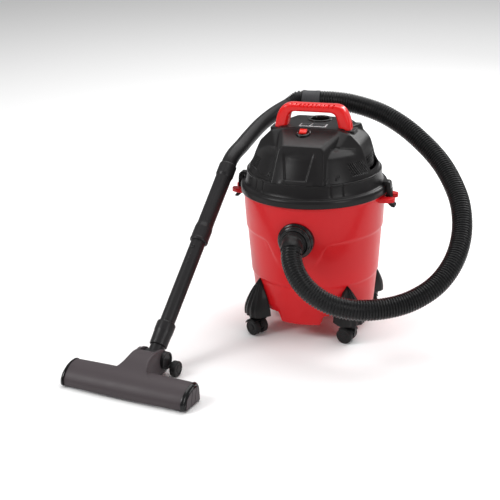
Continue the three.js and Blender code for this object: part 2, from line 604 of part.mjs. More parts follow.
function makeNozzleShell() {
  const half = NOZZLE_HALF_WIDTH - 9;
  const body = solid(sideOutline(BODY_SECTION, -half, half));
  const hollow = solid(sideOutline(BODY_HOLLOW, -half + 3, half - 3));
  const mound = solid(hull([[-62, -100, 6], [56, -100, 6], [-60, -80, -30], [54, -80, -30], [-30, -44, 30],
    [28, -44, 30], [-30, -20, 27], [28, -20, 27], [-30, 8, 22], [28, 8, 22], [-30, 23, 6], [28, 23, 6],
    [-30, 23, -22], [28, 23, -22], [-32, -30, -30], [30, -30, -30]]));
  const pocket = acrossRod(-80, 80, 0, 0, BARREL_RADIUS + 0.5, 28);
  const slot = solid(sideOutline([[0, -8], [-34, 60], [60, 60], [60, -16], [16, -16]], -19.5, 19.5));
  const duct = solid(rod(new THREE.Vector3(0, 0, -8), new THREE.Vector3(0, -90, -12), 14, 20));
  const axle = acrossRod(-70, 70, AXLE_Y, AXLE_Z, AXLE_RADIUS + GAP, 12);
  const wheelRoom = [-1, 1].map(
    (side) => acrossRod(side * 33, side * 90, AXLE_Y, AXLE_Z, NOZZLE_WHEEL_RADIUS + 2, 24));
  const belly = solid(sideOutline([[-30, -22], [23, -22], [23, -32], [-30, -32]], -30, 28));
  return cut(join(cut(join(body, mound), hollow), belly), pocket, slot, duct, ...wheelRoom, axle);
}
piece('nozzle_shell', makeNozzleShell(), NOZZLE_GREY, nozzleGroup);

function makeEndCap(side) {
  const half = NOZZLE_HALF_WIDTH - 9 + GAP;
  const inner = BODY_SECTION.map(([y, z]) => [side * half, y, z]);
  const outer = BODY_SECTION.map(
    ([y, z]) => [side * NOZZLE_HALF_WIDTH, -104 + (y + 104) * 0.86, -36 + (z + 36) * 0.84]);
  return hull([...inner, ...outer]);
}
piece('nozzle_end_cap_left', makeEndCap(-1), BLACK, nozzleGroup);
piece('nozzle_end_cap_right', makeEndCap(1), BLACK, nozzleGroup);

function makeSole() {
  const half = NOZZLE_HALF_WIDTH - 14;
  const plate = solid(box([-half, half], [-137, -71], [-38.6, -37.1]));
  return cut(plate, solid(box([-110, 110], [-114, -92], [-40, -30])));
}
piece('nozzle_sole', makeSole(), STEEL, nozzleGroup);
piece('brush_front', box([-138, 138], [-135, -129], [NOZZLE_FLOOR, -38.6 - GAP]), BRISTLE, nozzleGroup);
piece('brush_rear', box([-138, 138], [-79, -73], [NOZZLE_FLOOR, -38.6 - GAP]), BRISTLE, nozzleGroup);

for (const [name, side] of [['left', -1], ['right', 1]]) {
  const wheel = ring(3.3, NOZZLE_WHEEL_RADIUS, -8, 8, 24).rotateY(Math.PI / 2);
  piece(`nozzle_wheel_${name}`, wheel, RUBBER, nozzleGroup).position.set(side * 50, AXLE_Y, AXLE_Z);
}
piece('nozzle_axle', acrossRod(-57, 57, AXLE_Y, AXLE_Z, AXLE_RADIUS, 12), STEEL, nozzleGroup);

export default group;
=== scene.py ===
# A wet and dry shop vacuum on casters: a red moulded tank, a black motor head with a red handle,
# a ribbed hose, a bent grip, two wand tubes and a floor nozzle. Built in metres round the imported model.
from math import atan2, cos, exp, hypot, log, pi, radians, sin, sqrt

import bmesh
import bpy
from mathutils import Matrix, Quaternion, Vector


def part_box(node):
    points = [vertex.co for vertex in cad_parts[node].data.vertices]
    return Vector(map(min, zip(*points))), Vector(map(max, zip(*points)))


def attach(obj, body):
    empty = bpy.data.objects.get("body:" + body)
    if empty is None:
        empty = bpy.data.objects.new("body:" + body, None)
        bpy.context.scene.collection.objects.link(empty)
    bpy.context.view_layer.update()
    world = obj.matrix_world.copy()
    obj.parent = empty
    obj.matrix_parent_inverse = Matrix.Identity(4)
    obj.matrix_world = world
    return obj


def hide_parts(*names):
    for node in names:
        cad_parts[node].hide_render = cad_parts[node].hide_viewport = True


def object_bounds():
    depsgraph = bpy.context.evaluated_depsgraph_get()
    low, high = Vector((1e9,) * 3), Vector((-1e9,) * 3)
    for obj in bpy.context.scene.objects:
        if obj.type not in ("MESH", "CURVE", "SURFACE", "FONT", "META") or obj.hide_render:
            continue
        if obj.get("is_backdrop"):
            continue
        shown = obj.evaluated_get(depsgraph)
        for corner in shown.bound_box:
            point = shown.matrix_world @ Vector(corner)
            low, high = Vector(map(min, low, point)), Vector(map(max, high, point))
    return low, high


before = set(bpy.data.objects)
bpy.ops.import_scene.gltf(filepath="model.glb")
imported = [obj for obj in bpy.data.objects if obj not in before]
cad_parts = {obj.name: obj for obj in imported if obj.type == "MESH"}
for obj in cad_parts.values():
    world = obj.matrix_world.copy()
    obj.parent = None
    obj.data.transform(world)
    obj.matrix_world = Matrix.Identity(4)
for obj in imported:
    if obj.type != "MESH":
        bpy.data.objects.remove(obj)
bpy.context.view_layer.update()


# ---- Studio --------------------------------------------------------------------------------------
# A camera at chest height in front of the vacuum and to its right, a flat pale floor, and four large
# soft lamps: a key from the upper left, a fill from the right, one high above and one behind.
CAMERA_PLACE, CAMERA_TARGET = (0.8485, -2.510, 1.207), (-0.0395, 0.160, 0.166)
CAMERA_ROLL = radians(-1.58)
LENS_MM, SENSOR_MM = 87.48, 36
LAMP_TARGET = (0.1, 0.1, 0.3)
FLOOR_HALF, FLOOR_WHITE, FLOOR_ROUGHNESS = 7.0, 0.93, 0.9
WORLD_LIGHT = 0.34


def look_from(thing, place, target, roll=0.0):
    turn = (Vector(target) - Vector(place)).to_track_quat("-Z", "Y")
    thing.location = place
    thing.rotation_euler = (turn @ Quaternion((0, 0, 1), roll)).to_euler()
    bpy.context.scene.collection.objects.link(thing)
    return thing


camera_data = bpy.data.cameras.new("camera")
camera_data.lens = LENS_MM
camera_data.sensor_width = SENSOR_MM
camera = look_from(bpy.data.objects.new("camera", camera_data), CAMERA_PLACE, CAMERA_TARGET, CAMERA_ROLL)
bpy.context.scene.camera = camera


def soft_lamp(name, place, size, power, target=LAMP_TARGET):
    data = bpy.data.lights.new(name, "AREA")
    data.shape = "RECTANGLE"
    data.size, data.size_y = size
    data.energy = power
    look_from(bpy.data.objects.new(name, data), place, target)


soft_lamp("key_lamp", (-1.9, -1.5, 2.1), (1.1, 1.3), 44)
soft_lamp("fill_lamp", (2.3, -1.2, 1.3), (0.8, 1.5), 20)
soft_lamp("top_lamp", (0.3, 1.6, 3.8), (4.5, 4.0), 150, (0.1, 1.0, 0))
soft_lamp("back_lamp", (1.1, 2.1, 1.5), (1.4, 0.8), 26)

world = bpy.data.worlds.new("studio")
bpy.context.scene.world = world
world.use_nodes = True
bpy.context.scene.view_settings.view_transform = "Standard"
sky = world.node_tree.nodes["Background"]
sky.inputs["Color"].default_value = (1.0, 1.0, 1.0, 1)
sky.inputs["Strength"].default_value = WORLD_LIGHT

floor_shape = bmesh.new()
bmesh.ops.create_grid(floor_shape, x_segments=2, y_segments=2, size=FLOOR_HALF)
floor_mesh = bpy.data.meshes.new("floor")
floor_shape.to_mesh(floor_mesh)
floor = bpy.data.objects.new("floor", floor_mesh)
bpy.context.scene.collection.objects.link(floor)
floor_paint = bpy.data.materials.new("floor_paint")
floor_paint.use_nodes = True
floor_shader = floor_paint.node_tree.nodes["Principled BSDF"]
floor_shader.inputs["Base Color"].default_value = (FLOOR_WHITE, FLOOR_WHITE, FLOOR_WHITE, 1)
floor_shader.inputs["Roughness"].default_value = FLOOR_ROUGHNESS
floor_mesh.materials.append(floor_paint)
floor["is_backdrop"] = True


# ---- Hose ----------------------------------------------------------------------------------------
# A corrugated black plastic hose, 48 mm outside, blown in one length with a rib every 6.5 mm. It
# leaves the tank's inlet downwards, loops round the right side and comes back over the rear to the grip.
HOSE_ROUTE_MM = [
    (1.5, -205.5, 252.5), (5, -221.5, 239), (14.5, -238.5, 222.5), (30, -254.5, 204.5),
    (51.5, -267.5, 187), (79, -275.5, 171), (116, -277, 156), (160, -267, 146), (214, -239, 142),
    (271, -195, 148), (320, -145, 172), (349, -88, 209), (357, -25, 255), (343, 38, 306), (314, 90, 345),
    (277, 134, 380), (229, 172, 413), (172, 202, 446), (108, 220, 473), (34, 224, 491), (-8, 219.5, 496),
    (-40, 214.5, 497),
]
tank_low, tank_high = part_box("tank")


def shift(x, y, z):
    return Matrix.Translation((x, y, z))


def swing(angle, axis):
    return Matrix.Rotation(angle, 4, axis)


# From the tank's own axis to the whole frame.
AT_TANK = shift((tank_low.x + tank_high.x) / 2, (tank_low.y + tank_high.y) / 2, 0)


class Wire:
    """A node's socket. Sums and products of wires add the Math nodes that work them out."""

    def __init__(self, tree, socket):
        self.tree = tree
        self.socket = socket

    def maths(self, operation, first, second):
        node = self.tree.nodes.new("ShaderNodeMath")
        node.operation = operation
        for slot, value in zip(node.inputs, (first, second)):
            if isinstance(value, Wire):
                self.tree.links.new(value.socket, slot)
            else:
                slot.default_value = value
        return Wire(self.tree, node.outputs[0])

    def __add__(self, other):
        return self.maths("ADD", self, other)

    def __mul__(self, other):
        return self.maths("MULTIPLY", self, other)

    __radd__ = __add__
    __rmul__ = __mul__


class Finish:
    """A material under construction: its node tree and its Principled shader."""

    def __init__(self, name, **constants):
        self.material = bpy.data.materials.new(name)
        self.material.use_nodes = True
        self.tree = self.material.node_tree
        self.shader = self.tree.nodes["Principled BSDF"]
        for socket, value in constants.items():
            self.shader.inputs[socket.replace("_", " ")].default_value = value

    def node(self, kind, settings=None, output=0, **inputs):
        node = self.tree.nodes.new("ShaderNode" + kind)
        for key, value in (settings or {}).items():
            setattr(node, key, value)
        for key, value in inputs.items():
            numbered = key[0] == "n" and key[1:].isdigit()
            socket = node.inputs[int(key[1:]) if numbered else key]
            if isinstance(value, Wire):
                self.tree.links.new(value.socket, socket)
            else:
                socket.default_value = value
        return Wire(self.tree, node.outputs[output])

    def place(self):
        return self.node("TexCoord", output=3)

    def noise(self, scale, detail=3.0, where=None):
        return self.node("TexNoise", Vector=where or self.place(), Scale=scale, Detail=detail)

    def wear(self, socket, wire):
        self.tree.links.new(wire.socket, self.shader.inputs[socket])

    def mixed(self, factor, first, second):
        return self.node("Mix", {"data_type": "RGBA"}, output=2, n0=factor, n6=(*first, 1),
                         n7=(*second, 1))

    def bumped(self, height, strength, distance):
        self.wear("Normal", self.node("Bump", Height=height, Strength=strength, Distance=distance))


def moulded(name, colour, roughness, grain=1400, relief=0.12, coat=0.0, mottle=0.10, sheen=0.20):
    """Injection moulded plastic: a fine spark-eroded grain, a faint cloudiness and slightly uneven gloss."""
    finish = Finish(name, Coat_Weight=coat, Coat_Roughness=0.12, Specular_IOR_Level=sheen)
    cloud = finish.noise(9.0, 4.0)
    finish.wear("Base Color", finish.mixed(cloud, [c * (1 - mottle) for c in colour],
                                           [c * (1 + mottle) for c in colour]))
    smear = finish.noise(38.0, 5.0)
    fine = finish.noise(grain, 2.0)
    finish.wear("Roughness", smear * 0.16 + fine * 0.05 + (roughness - 0.105))
    finish.bumped(fine + smear * 0.5, relief, 0.0003)
    return finish.material


def outward(bm):
    """Turns every face of a body outwards."""
    bmesh.ops.recalc_face_normals(bm, faces=bm.faces)
    return bm


def rounded(points, closed=True, steps=4):
    """An outline with its corners rounded. Each point is (a, b) or (a, b, fillet)."""
    out = []
    count = len(points)
    for i, point in enumerate(points):
        here = Vector(point[:2])
        fillet = point[2] if len(point) > 2 else 0
        if not fillet or (not closed and i in (0, count - 1)):
            out.append(tuple(here))
            continue
        before = Vector(points[i - 1][:2]) - here
        after = Vector(points[(i + 1) % count][:2]) - here
        reach = min(fillet, before.length * 0.49, after.length * 0.49)
        start, end = here + before.normalized() * reach, here + after.normalized() * reach
        for k in range(steps + 1):
            t = k / steps
            out.append(tuple(start * (1 - t) ** 2 + here * 2 * t * (1 - t) + end * t ** 2))
    return out


def turned(profile, sides=64, closed=True):
    """A body of revolution about Z from (radius, height) points, open at its ends if closed is False."""
    bm = bmesh.new()
    ring = [bm.verts.new((r, 0, z)) for r, z in profile]
    edges = [bm.edges.new(pair) for pair in zip(ring, ring[1:])]
    if closed:
        edges.append(bm.edges.new((ring[-1], ring[0])))
    bmesh.ops.spin(bm, geom=ring + edges, cent=(0, 0, 0), axis=(0, 0, 1), dvec=(0, 0, 0), angle=2 * pi,
                   steps=sides, use_merge=True, use_duplicate=False)
    bmesh.ops.remove_doubles(bm, verts=bm.verts, dist=1e-6)
    return outward(bm)


SPAN_STEPS = 40     # how finely a line is worked out between two of its points


class Line:
    """A smooth curve through points, walked by its length, with a steady pair of side directions."""

    def __init__(self, points, step=0.002):
        knots = [Vector(p) for p in points]
        if len(knots) == 2:
            knots.insert(1, (knots[0] + knots[1]) / 2)
        knots = [2 * knots[0] - knots[1]] + knots + [2 * knots[-1] - knots[-2]]
        fine = []
        for a, b, c, d in zip(knots, knots[1:], knots[2:], knots[3:]):
            t1 = sqrt((b - a).length)
            t2 = t1 + sqrt((c - b).length)
            t3 = t2 + sqrt((d - c).length)
            for i in range(SPAN_STEPS):
                t = t1 + (t2 - t1) * i / SPAN_STEPS
                ab = a * ((t1 - t) / t1) + b * (t / t1)
                bc = b * ((t2 - t) / (t2 - t1)) + c * ((t - t1) / (t2 - t1))
                cd = c * ((t3 - t) / (t3 - t2)) + d * ((t - t2) / (t3 - t2))
                abc = ab * ((t2 - t) / t2) + bc * (t / t2)
                bcd = bc * ((t3 - t) / (t3 - t1)) + cd * ((t - t1) / (t3 - t1))
                fine.append(abc * ((t2 - t) / (t2 - t1)) + bcd * ((t - t1) / (t2 - t1)))
        fine.append(knots[-2])
        gone = [0.0]
        for a, b in zip(fine, fine[1:]):
            gone.append(gone[-1] + (b - a).length)
        self.length = gone[-1]
        count = max(2, round(self.length / step))
        self.step = self.length / count
        self.points = []
        at = 0
        for i in range(count + 1):
            want = self.step * i
            while at < len(gone) - 2 and gone[at + 1] < want:
                at += 1
            share = (want - gone[at]) / max(gone[at + 1] - gone[at], 1e-9)
            self.points.append(fine[at].lerp(fine[at + 1], share))
        self.ways = [(b - a).normalized() for a, b in zip(self.points, self.points[1:])]
        self.ways.append(self.ways[-1])
        side = self.ways[0].orthogonal().normalized()
        if abs(self.ways[0].z) < 0.95:
            side = self.ways[0].cross(Vector((0, 0, 1))).normalized()
        self.sides = [side]
        for a, b in zip(self.ways, self.ways[1:]):
            self.sides.append(a.rotation_difference(b) @ self.sides[-1])

    def spot(self, distance):
        """The point and the two side directions at a distance, running on straight past either end."""
        i = min(max(int(distance / self.step), 0), len(self.points) - 1)
        side = self.sides[i]
        point = self.points[i] + self.ways[i] * (distance - i * self.step)
        return point, side, self.ways[i].cross(side)


def led_along(bm, line):
    """Bends a body drawn up the Z axis so that it follows a line."""
    for v in bm.verts:
        point, side, up = line.spot(v.co.z)
        v.co = point + side * v.co.x + up * v.co.y
    return outward(bm)


def added(bm, *others):
    """Joins other bodies into the first."""
    for other in others:
        mesh = bpy.data.meshes.new("joining")
        other.to_mesh(mesh)
        other.free()
        bm.from_mesh(mesh)
        bpy.data.meshes.remove(mesh)
    return bm


def finished(name, bm, material, body, slot, *replaced, crease=38, place=AT_TANK):
    """Makes a piece of a body, smooth except at its creases, riding on a CAD body."""
    if place:
        bm.transform(place)
    mesh = bpy.data.meshes.new(name)
    bm.to_mesh(mesh)
    bm.free()
    mesh.materials.append(material)
    mesh.polygons.foreach_set("use_smooth", [True] * len(mesh.polygons))
    mesh.set_sharp_from_angle(angle=radians(crease))
    piece = bpy.data.objects.new(name, mesh)
    bpy.context.scene.collection.objects.link(piece)
    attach(piece, body)
    if replaced:
        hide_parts(*replaced)
    return piece


hose_line = Line([Vector(p) / 1000 for p in HOSE_ROUTE_MM])
RIB_PITCH, HOSE_BORE, HOSE_SIDES = 0.0065, 0.0195, 32
rib_count = round(hose_line.length / RIB_PITCH)
pitch = hose_line.length / rib_count
RIB_SHAPE = (
    (0.0, 0.0215), (0.22, 0.0213), (0.34, 0.0236), (0.50, 0.0240), (0.70, 0.0238), (0.84, 0.0219),
)
hose_profile = [(r, (i + share) * pitch) for i in range(rib_count) for share, r in RIB_SHAPE]
hose_profile.append((RIB_SHAPE[0][1], hose_line.length))
hose_profile += [(HOSE_BORE, hose_line.length - i * pitch) for i in range(rib_count + 1)]
hose_black = moulded("hose_black", (0.0085, 0.0085, 0.009), 0.27, grain=900, relief=0.05)
hose = finished("ribbed_hose", led_along(turned(hose_profile, HOSE_SIDES), hose_line), hose_black, "tank",
                "hose_plastic", "hose", crease=60)


# ---- Tank ----------------------------------------------------------------------------------------
# The red moulded drum. Its wall widens upwards in two small steps, the upper one dipping in a tongue
# round the inlet, its skirt is cut away over the four feet, and a notched lug stands out on each side.
TANK_WALL = (
    (0.038, 0.1400), (0.072, 0.1445), (0.133, 0.1505), (0.246, 0.1585), (0.334, 0.1632), (0.350, 0.1640),
)
LOWER_STEP, UPPER_STEP, STEP_RISE, STEP_BLEND = 0.136, 0.249, 0.0026, 0.006
TONGUE_LOW, TONGUE_HALF, TONGUE_SIDE = 0.196, 0.046, -0.004
SKIRT_FOOT, SKIRT_TOP, SKIRT_CUT = 0.038, 0.0755, 0.022
RING_RISE, WALL_RINGS = 0.003, 99
FOOT_ANGLES = {"front_left": -135, "front_right": -45, "rear_right": 45, "rear_left": 135}


def smooth_step(value):
    value = min(max(value, 0.0), 1.0)
    return value * value * (3 - 2 * value)


def wall_radius(z):
    for (z0, r0), (z1, r1) in zip(TANK_WALL, TANK_WALL[1:]):
        if z <= z1:
            return r0 + (r1 - r0) * (z - z0) / (z1 - z0)
    return TANK_WALL[-1][1]


def upper_step(x, y, z):
    """How far the upper, wider band reaches at a place on the wall: 1 inside it, 0 below it."""
    above = z - UPPER_STEP
    if y > 0:
        return smooth_step(above / STEP_BLEND + 0.5)
    beside = TONGUE_HALF + (z - TONGUE_LOW) * 0.50 - abs(x - TONGUE_SIDE)
    joined = 0.5 * (above + beside + sqrt((above - beside) ** 2 + 0.012 ** 2)) - 0.001
    fade = smooth_step((z - 0.178) / 0.036)
    return smooth_step(joined / STEP_BLEND + 0.5) * fade


def skirt_lift(x, y):
    """How far the skirt's lower edge is cut up over the feet."""
    angle = atan2(y, x)
    off = min(abs((angle - radians(a) + pi) % (2 * pi) - pi) for a in FOOT_ANGLES.values())
    return SKIRT_CUT * smooth_step((0.064 - off * 0.142) / 0.011)


def verts_of(made):
    """The vertices that an operator made."""
    return [v for v in made["geom"] if isinstance(v, bmesh.types.BMVert)]


def slab(outline, low, high, bevel=0.0, steps=3):
    """A plate cut to an outline in X and Z, from Y = low to high, with its edges rounded."""
    bm = bmesh.new()
    face = bm.faces.new([bm.verts.new((x, low, z)) for x, z in outline])
    made = bmesh.ops.extrude_face_region(bm, geom=[face])
    bmesh.ops.translate(bm, vec=(0, high - low, 0), verts=verts_of(made))
    outward(bm)
    if bevel:
        rims = [e for e in bm.edges if len(e.link_faces) == 2 and e.calc_face_angle(0) > radians(28)]
        bmesh.ops.bevel(bm, geom=rims, offset=bevel, offset_type="OFFSET", segments=steps, profile=0.5,
                        affect="EDGES", clamp_overlap=True, material=-1)
    return bm


def pushed_out(v, amount):
    """Moves a vertex away from the axis."""
    radius = hypot(v.co.x, v.co.y)
    v.co.x *= (radius + amount) / radius
    v.co.y *= (radius + amount) / radius


wall_heights = [SKIRT_FOOT + RING_RISE * i for i in range(WALL_RINGS)]
outer_wall = [(wall_radius(z), z) for z in wall_heights]
tank_profile = [(0.0, 0.064), (0.1335, 0.064), (0.1345, 0.060), (0.1365, 0.0385), (0.1375, 0.038)]
tank_profile += outer_wall[1:] + [
    (0.168, 0.334), (0.171, 0.338), (0.171, 0.345), (0.165, 0.345), (0.1645, 0.334), (0.158, 0.246),
    (0.1475, 0.133), (0.1415, 0.076), (0.134, 0.068), (0.0, 0.068),
]
tank_body = turned(tank_profile, 256, closed=False)
for v in tank_body.verts:
    radius = hypot(v.co.x, v.co.y)
    x, y, z = v.co
    if radius > 0.1385 and 0.04 < z < 0.3335 and radius > wall_radius(z) - 0.0008:
        lower_step = smooth_step((z - LOWER_STEP) / STEP_BLEND + 0.5)
        pushed_out(v, STEP_RISE * (lower_step + upper_step(x, y, z)))
    if radius > 0.1340 and z < SKIRT_TOP:
        v.co.z += skirt_lift(x, y) * (SKIRT_TOP - z) / (SKIRT_TOP - SKIRT_FOOT)

LUG_HALF_SLOT = 0.0125
lug_outline = rounded([
    (0.155, -0.038), (0.184, -0.037, 0.004), (0.199, -0.028, 0.006), (0.199, -LUG_HALF_SLOT, 0.002),
    (0.173, -LUG_HALF_SLOT, 0.002), (0.173, LUG_HALF_SLOT, 0.002), (0.199, LUG_HALF_SLOT, 0.002),
    (0.199, 0.028, 0.006), (0.184, 0.037, 0.004), (0.155, 0.038),
])
for half_turn in (0, pi):
    lug = slab(lug_outline, -0.3305, -0.3215, 0.0018)
    lug.transform(swing(half_turn, "Z") @ swing(-pi / 2, "X"))
    added(tank_body, lug)
tank_red = moulded("tank_red", (0.60, 0.0085, 0.0125), 0.36, grain=1500, relief=0.06, coat=0.12,
                   mottle=0.04)
finished("tank_shell", tank_body, tank_red, "tank", "red_shell", "tank", crease=50)


# ---- Inlet and hose cuff -------------------------------------------------------------------------
# A glossy black socket is clipped into the front of the tank. The hose's cuff pushes into it up to a
# stop ring and turns downwards; a curved deflector behind it throws the dirt down into the tank.
INLET_HEIGHT = 0.259
FACING_FRONT = shift(0, 0, INLET_HEIGHT) @ swing(pi / 2, "X")
gloss_black = moulded("gloss_black", (0.006, 0.006, 0.0065), 0.20, grain=1100, relief=0.02, coat=0.25)
satin_black = moulded("satin_black", (0.010, 0.0097, 0.010), 0.34, grain=1500, relief=0.10)
collar_profile = rounded([
    (0.0256, 0.150), (0.0425, 0.150), (0.0425, 0.1715, 0.004), (0.0385, 0.1735, 0.001),
    (0.0385, 0.1805, 0.003), (0.0345, 0.1825, 0.001), (0.0345, 0.1855, 0.0015), (0.0256, 0.1855, 0.001),
])
collar = turned(collar_profile, 96)
collar.transform(FACING_FRONT)
finished("inlet_socket", collar, gloss_black, "tank", "black_gloss", "inlet_collar")

CUFF_BEND, CUFF_BEND_RADIUS, CUFF_LEAN = radians(40.6), 0.030, radians(14)
cuff_points = [(0, -0.156, INLET_HEIGHT), (0, -0.172, INLET_HEIGHT)]
for i in range(7):
    turn = CUFF_BEND * i / 6
    aside = CUFF_BEND_RADIUS * (1 - cos(turn))
    cuff_points.append((aside * sin(CUFF_LEAN), -0.187 - CUFF_BEND_RADIUS * sin(turn),
                        INLET_HEIGHT - aside * cos(CUFF_LEAN)))
cuff_line = Line(cuff_points, 0.001)
cuff_end = cuff_line.length + 0.004
cuff_profile = rounded([
    (0.0205, 0), (0.0244, 0), (0.0244, 0.029), (0.0295, 0.0295, 0.001), (0.0295, 0.034, 0.001),
    (0.0262, 0.0345, 0.001), (0.0262, 0.0375, 0.001), (0.0248, 0.0385), (0.0248, 0.043), (0.0248, 0.048),
    (0.0262, cuff_end - 0.009, 0.001), (0.0262, cuff_end, 0.0015), (0.0244, cuff_end, 0.0005),
    (0.0205, 0.050), (0.0205, 0.040), (0.0205, 0.030),
])
inlet_cuff = finished("hose_inlet_cuff", led_along(turned(cuff_profile, 64), cuff_line), satin_black,
                      "tank", "black_fittings", "hose_cuff")

deflector_outline = rounded([
    (-0.1475, 0.300), (-0.128, 0.297, 0.01), (-0.112, 0.286, 0.01), (-0.103, 0.268, 0.01),
    (-0.100, 0.240), (-0.103, 0.240), (-0.106, 0.267, 0.01), (-0.114, 0.283, 0.01), (-0.129, 0.294, 0.01),
    (-0.1475, 0.297),
])
deflector = slab(deflector_outline, -0.034, 0.034, 0.0006)
deflector.transform(swing(pi / 2, "Z") @ Matrix.Scale(1, 4))
finished("deflector", deflector, satin_black, "tank", "black_fittings", "inlet_deflector")


# ---- Feet and casters ----------------------------------------------------------------------------
# Four black ribbed feet are clipped to the drum, pointed at the top like a leaf. Each holds the steel
# stem of a twin wheel caster: a hooded fork with a wheel on each side of its web.
FOOT_REACH = (
    (0.046, 0.1895), (0.056, 0.1900), (0.066, 0.1890), (0.080, 0.1840), (0.096, 0.1765), (0.112, 0.1680),
    (0.124, 0.1600), (0.1345, 0.1530),
)
FOOT_HALF_WIDTH = (
    (0.046, 0.0345), (0.060, 0.0330), (0.076, 0.0300), (0.092, 0.0255), (0.106, 0.0195), (0.118, 0.0130),
    (0.127, 0.0072), (0.1345, 0.0014),
)
FOOT_LOW, FOOT_HEIGHT, FOOT_RIB = 0.046, 0.0885, 0.0028
SWIVEL_RADIUS = 0.172
AT_WHEEL = shift(-0.013, 0, 0.019)


def looked_up(table, z):
    for (z0, r0), (z1, r1) in zip(table, table[1:]):
        if z <= z1:
            return r0 + (r1 - r0) * max(z - z0, 0) / (z1 - z0)
    return table[-1][1]


def make_foot():
    across, up = 48, 30
    bm = bmesh.new()
    bmesh.ops.create_grid(bm, x_segments=across, y_segments=up, size=1.0)
    for v in bm.verts:
        u, z = v.co.x, FOOT_LOW + (v.co.y + 1) / 2 * FOOT_HEIGHT
        half = looked_up(FOOT_HALF_WIDTH, z)
        ribs = FOOT_RIB * (0.5 + 0.5 * cos(u * 4 * pi)) * smooth_step((1 - abs(u)) / 0.15)
        crown = looked_up(FOOT_REACH, z) - 0.010 * u * u * half / 0.034
        crown -= 0.006 * smooth_step((abs(u) - 0.82) / 0.18)
        v.co = Vector((crown + ribs - FOOT_RIB, u * half, z))
    rim = [e for e in bm.edges if e.is_boundary]
    pushed = bmesh.ops.extrude_edge_only(bm, edges=rim)
    for v in verts_of(pushed):
        inner = wall_radius(max(v.co.z, 0.062)) + 0.0032
        v.co.x = min(sqrt(max(inner ** 2 - v.co.y ** 2, 0)), v.co.x - 0.002)
    bmesh.ops.holes_fill(bm, edges=[e for e in bm.edges if e.is_boundary], sides=0)
    bmesh.ops.triangulate(bm, faces=[f for f in bm.faces if len(f.verts) > 4])
    return outward(bm)


def make_fork():
    web = slab(rounded([
        (-0.020, 0.012), (-0.034, 0.021, 0.006), (-0.031, 0.033, 0.008), (-0.016, 0.0405, 0.004),
        (0.006, 0.0405, 0.003), (0.0105, 0.036, 0.003), (0.006, 0.014, 0.004), (-0.006, 0.012, 0.003),
    ]), -0.0032, 0.0032, 0.0008)
    hood = bmesh.new()
    outline = rounded([
        (0.0202, -0.0205), (0.0224, -0.0205, 0.002), (0.0230, 0.0), (0.0224, 0.0205, 0.002),
        (0.0202, 0.0205),
    ])
    face = hood.faces.new([hood.verts.new((r, y, 0)) for r, y in outline])
    bmesh.ops.spin(hood, geom=[face, *face.edges, *face.verts], cent=(0, 0, 0), axis=(0, -1, 0),
                   dvec=(0, 0, 0), angle=radians(100), steps=24, use_merge=False, use_duplicate=False)
    outward(hood).transform(AT_WHEEL @ swing(radians(-24), "Y"))
    boss = turned(rounded([
        (0, 0.0385), (0.0102, 0.0385, 0.001), (0.0102, 0.0455, 0.0012), (0.005, 0.0457), (0.005, 0.060),
        (0, 0.060),
    ], closed=False), 32, closed=False)
    return added(web, hood, boss)


def make_twin_wheels():
    tread = rounded([
        (0.0, 0.0045), (0.0165, 0.0045), (0.019, 0.0055, 0.0015), (0.019, 0.0185, 0.004),
        (0.0155, 0.0200, 0.001), (0.0148, 0.0186, 0.001), (0.0075, 0.0178, 0.001),
        (0.0070, 0.0196, 0.0008), (0.0, 0.0200),
    ], closed=False)
    wheels = turned(tread, 48, closed=False)
    wheels.transform(swing(-pi / 2, "X"))
    other = turned(tread, 48, closed=False)
    other.transform(swing(pi / 2, "X"))
    stub = turned([(0, -0.0047), (0.0026, -0.0047), (0.0026, 0.0047), (0, 0.0047)], 20, closed=False)
    stub.transform(swing(pi / 2, "X"))
    return added(wheels, other, stub)


CASTER_YAW = {"front_left": 150, "front_right": -10, "rear_right": 20, "rear_left": 160}
fork_black = moulded("fork_black", (0.0085, 0.0085, 0.009), 0.30, grain=1500, relief=0.08)
wheel_grey = moulded("wheel_grey", (0.016, 0.0155, 0.016), 0.52, grain=800, relief=0.20)
for corner, angle in FOOT_ANGLES.items():
    foot = make_foot()
    foot.transform(swing(radians(angle), "Z"))
    finished("foot_cover_" + corner, foot, satin_black, "tank", "black_fittings", "foot_" + corner)
    x, y = SWIVEL_RADIUS * cos(radians(angle)), SWIVEL_RADIUS * sin(radians(angle))
    swivel = shift(x, y, 0) @ swing(radians(CASTER_YAW[corner]), "Z")
    fork = make_fork()
    fork.transform(swivel)
    finished("fork_" + corner, fork, fork_black, corner + "_caster", "black_fittings",
             "caster_hood_" + corner)
    wheels = make_twin_wheels()
    wheels.transform(swivel @ AT_WHEEL)
    finished("twin_wheels_" + corner, wheels, wheel_grey, corner + "_wheels", "wheel_rubber",
             "caster_wheels_" + corner)


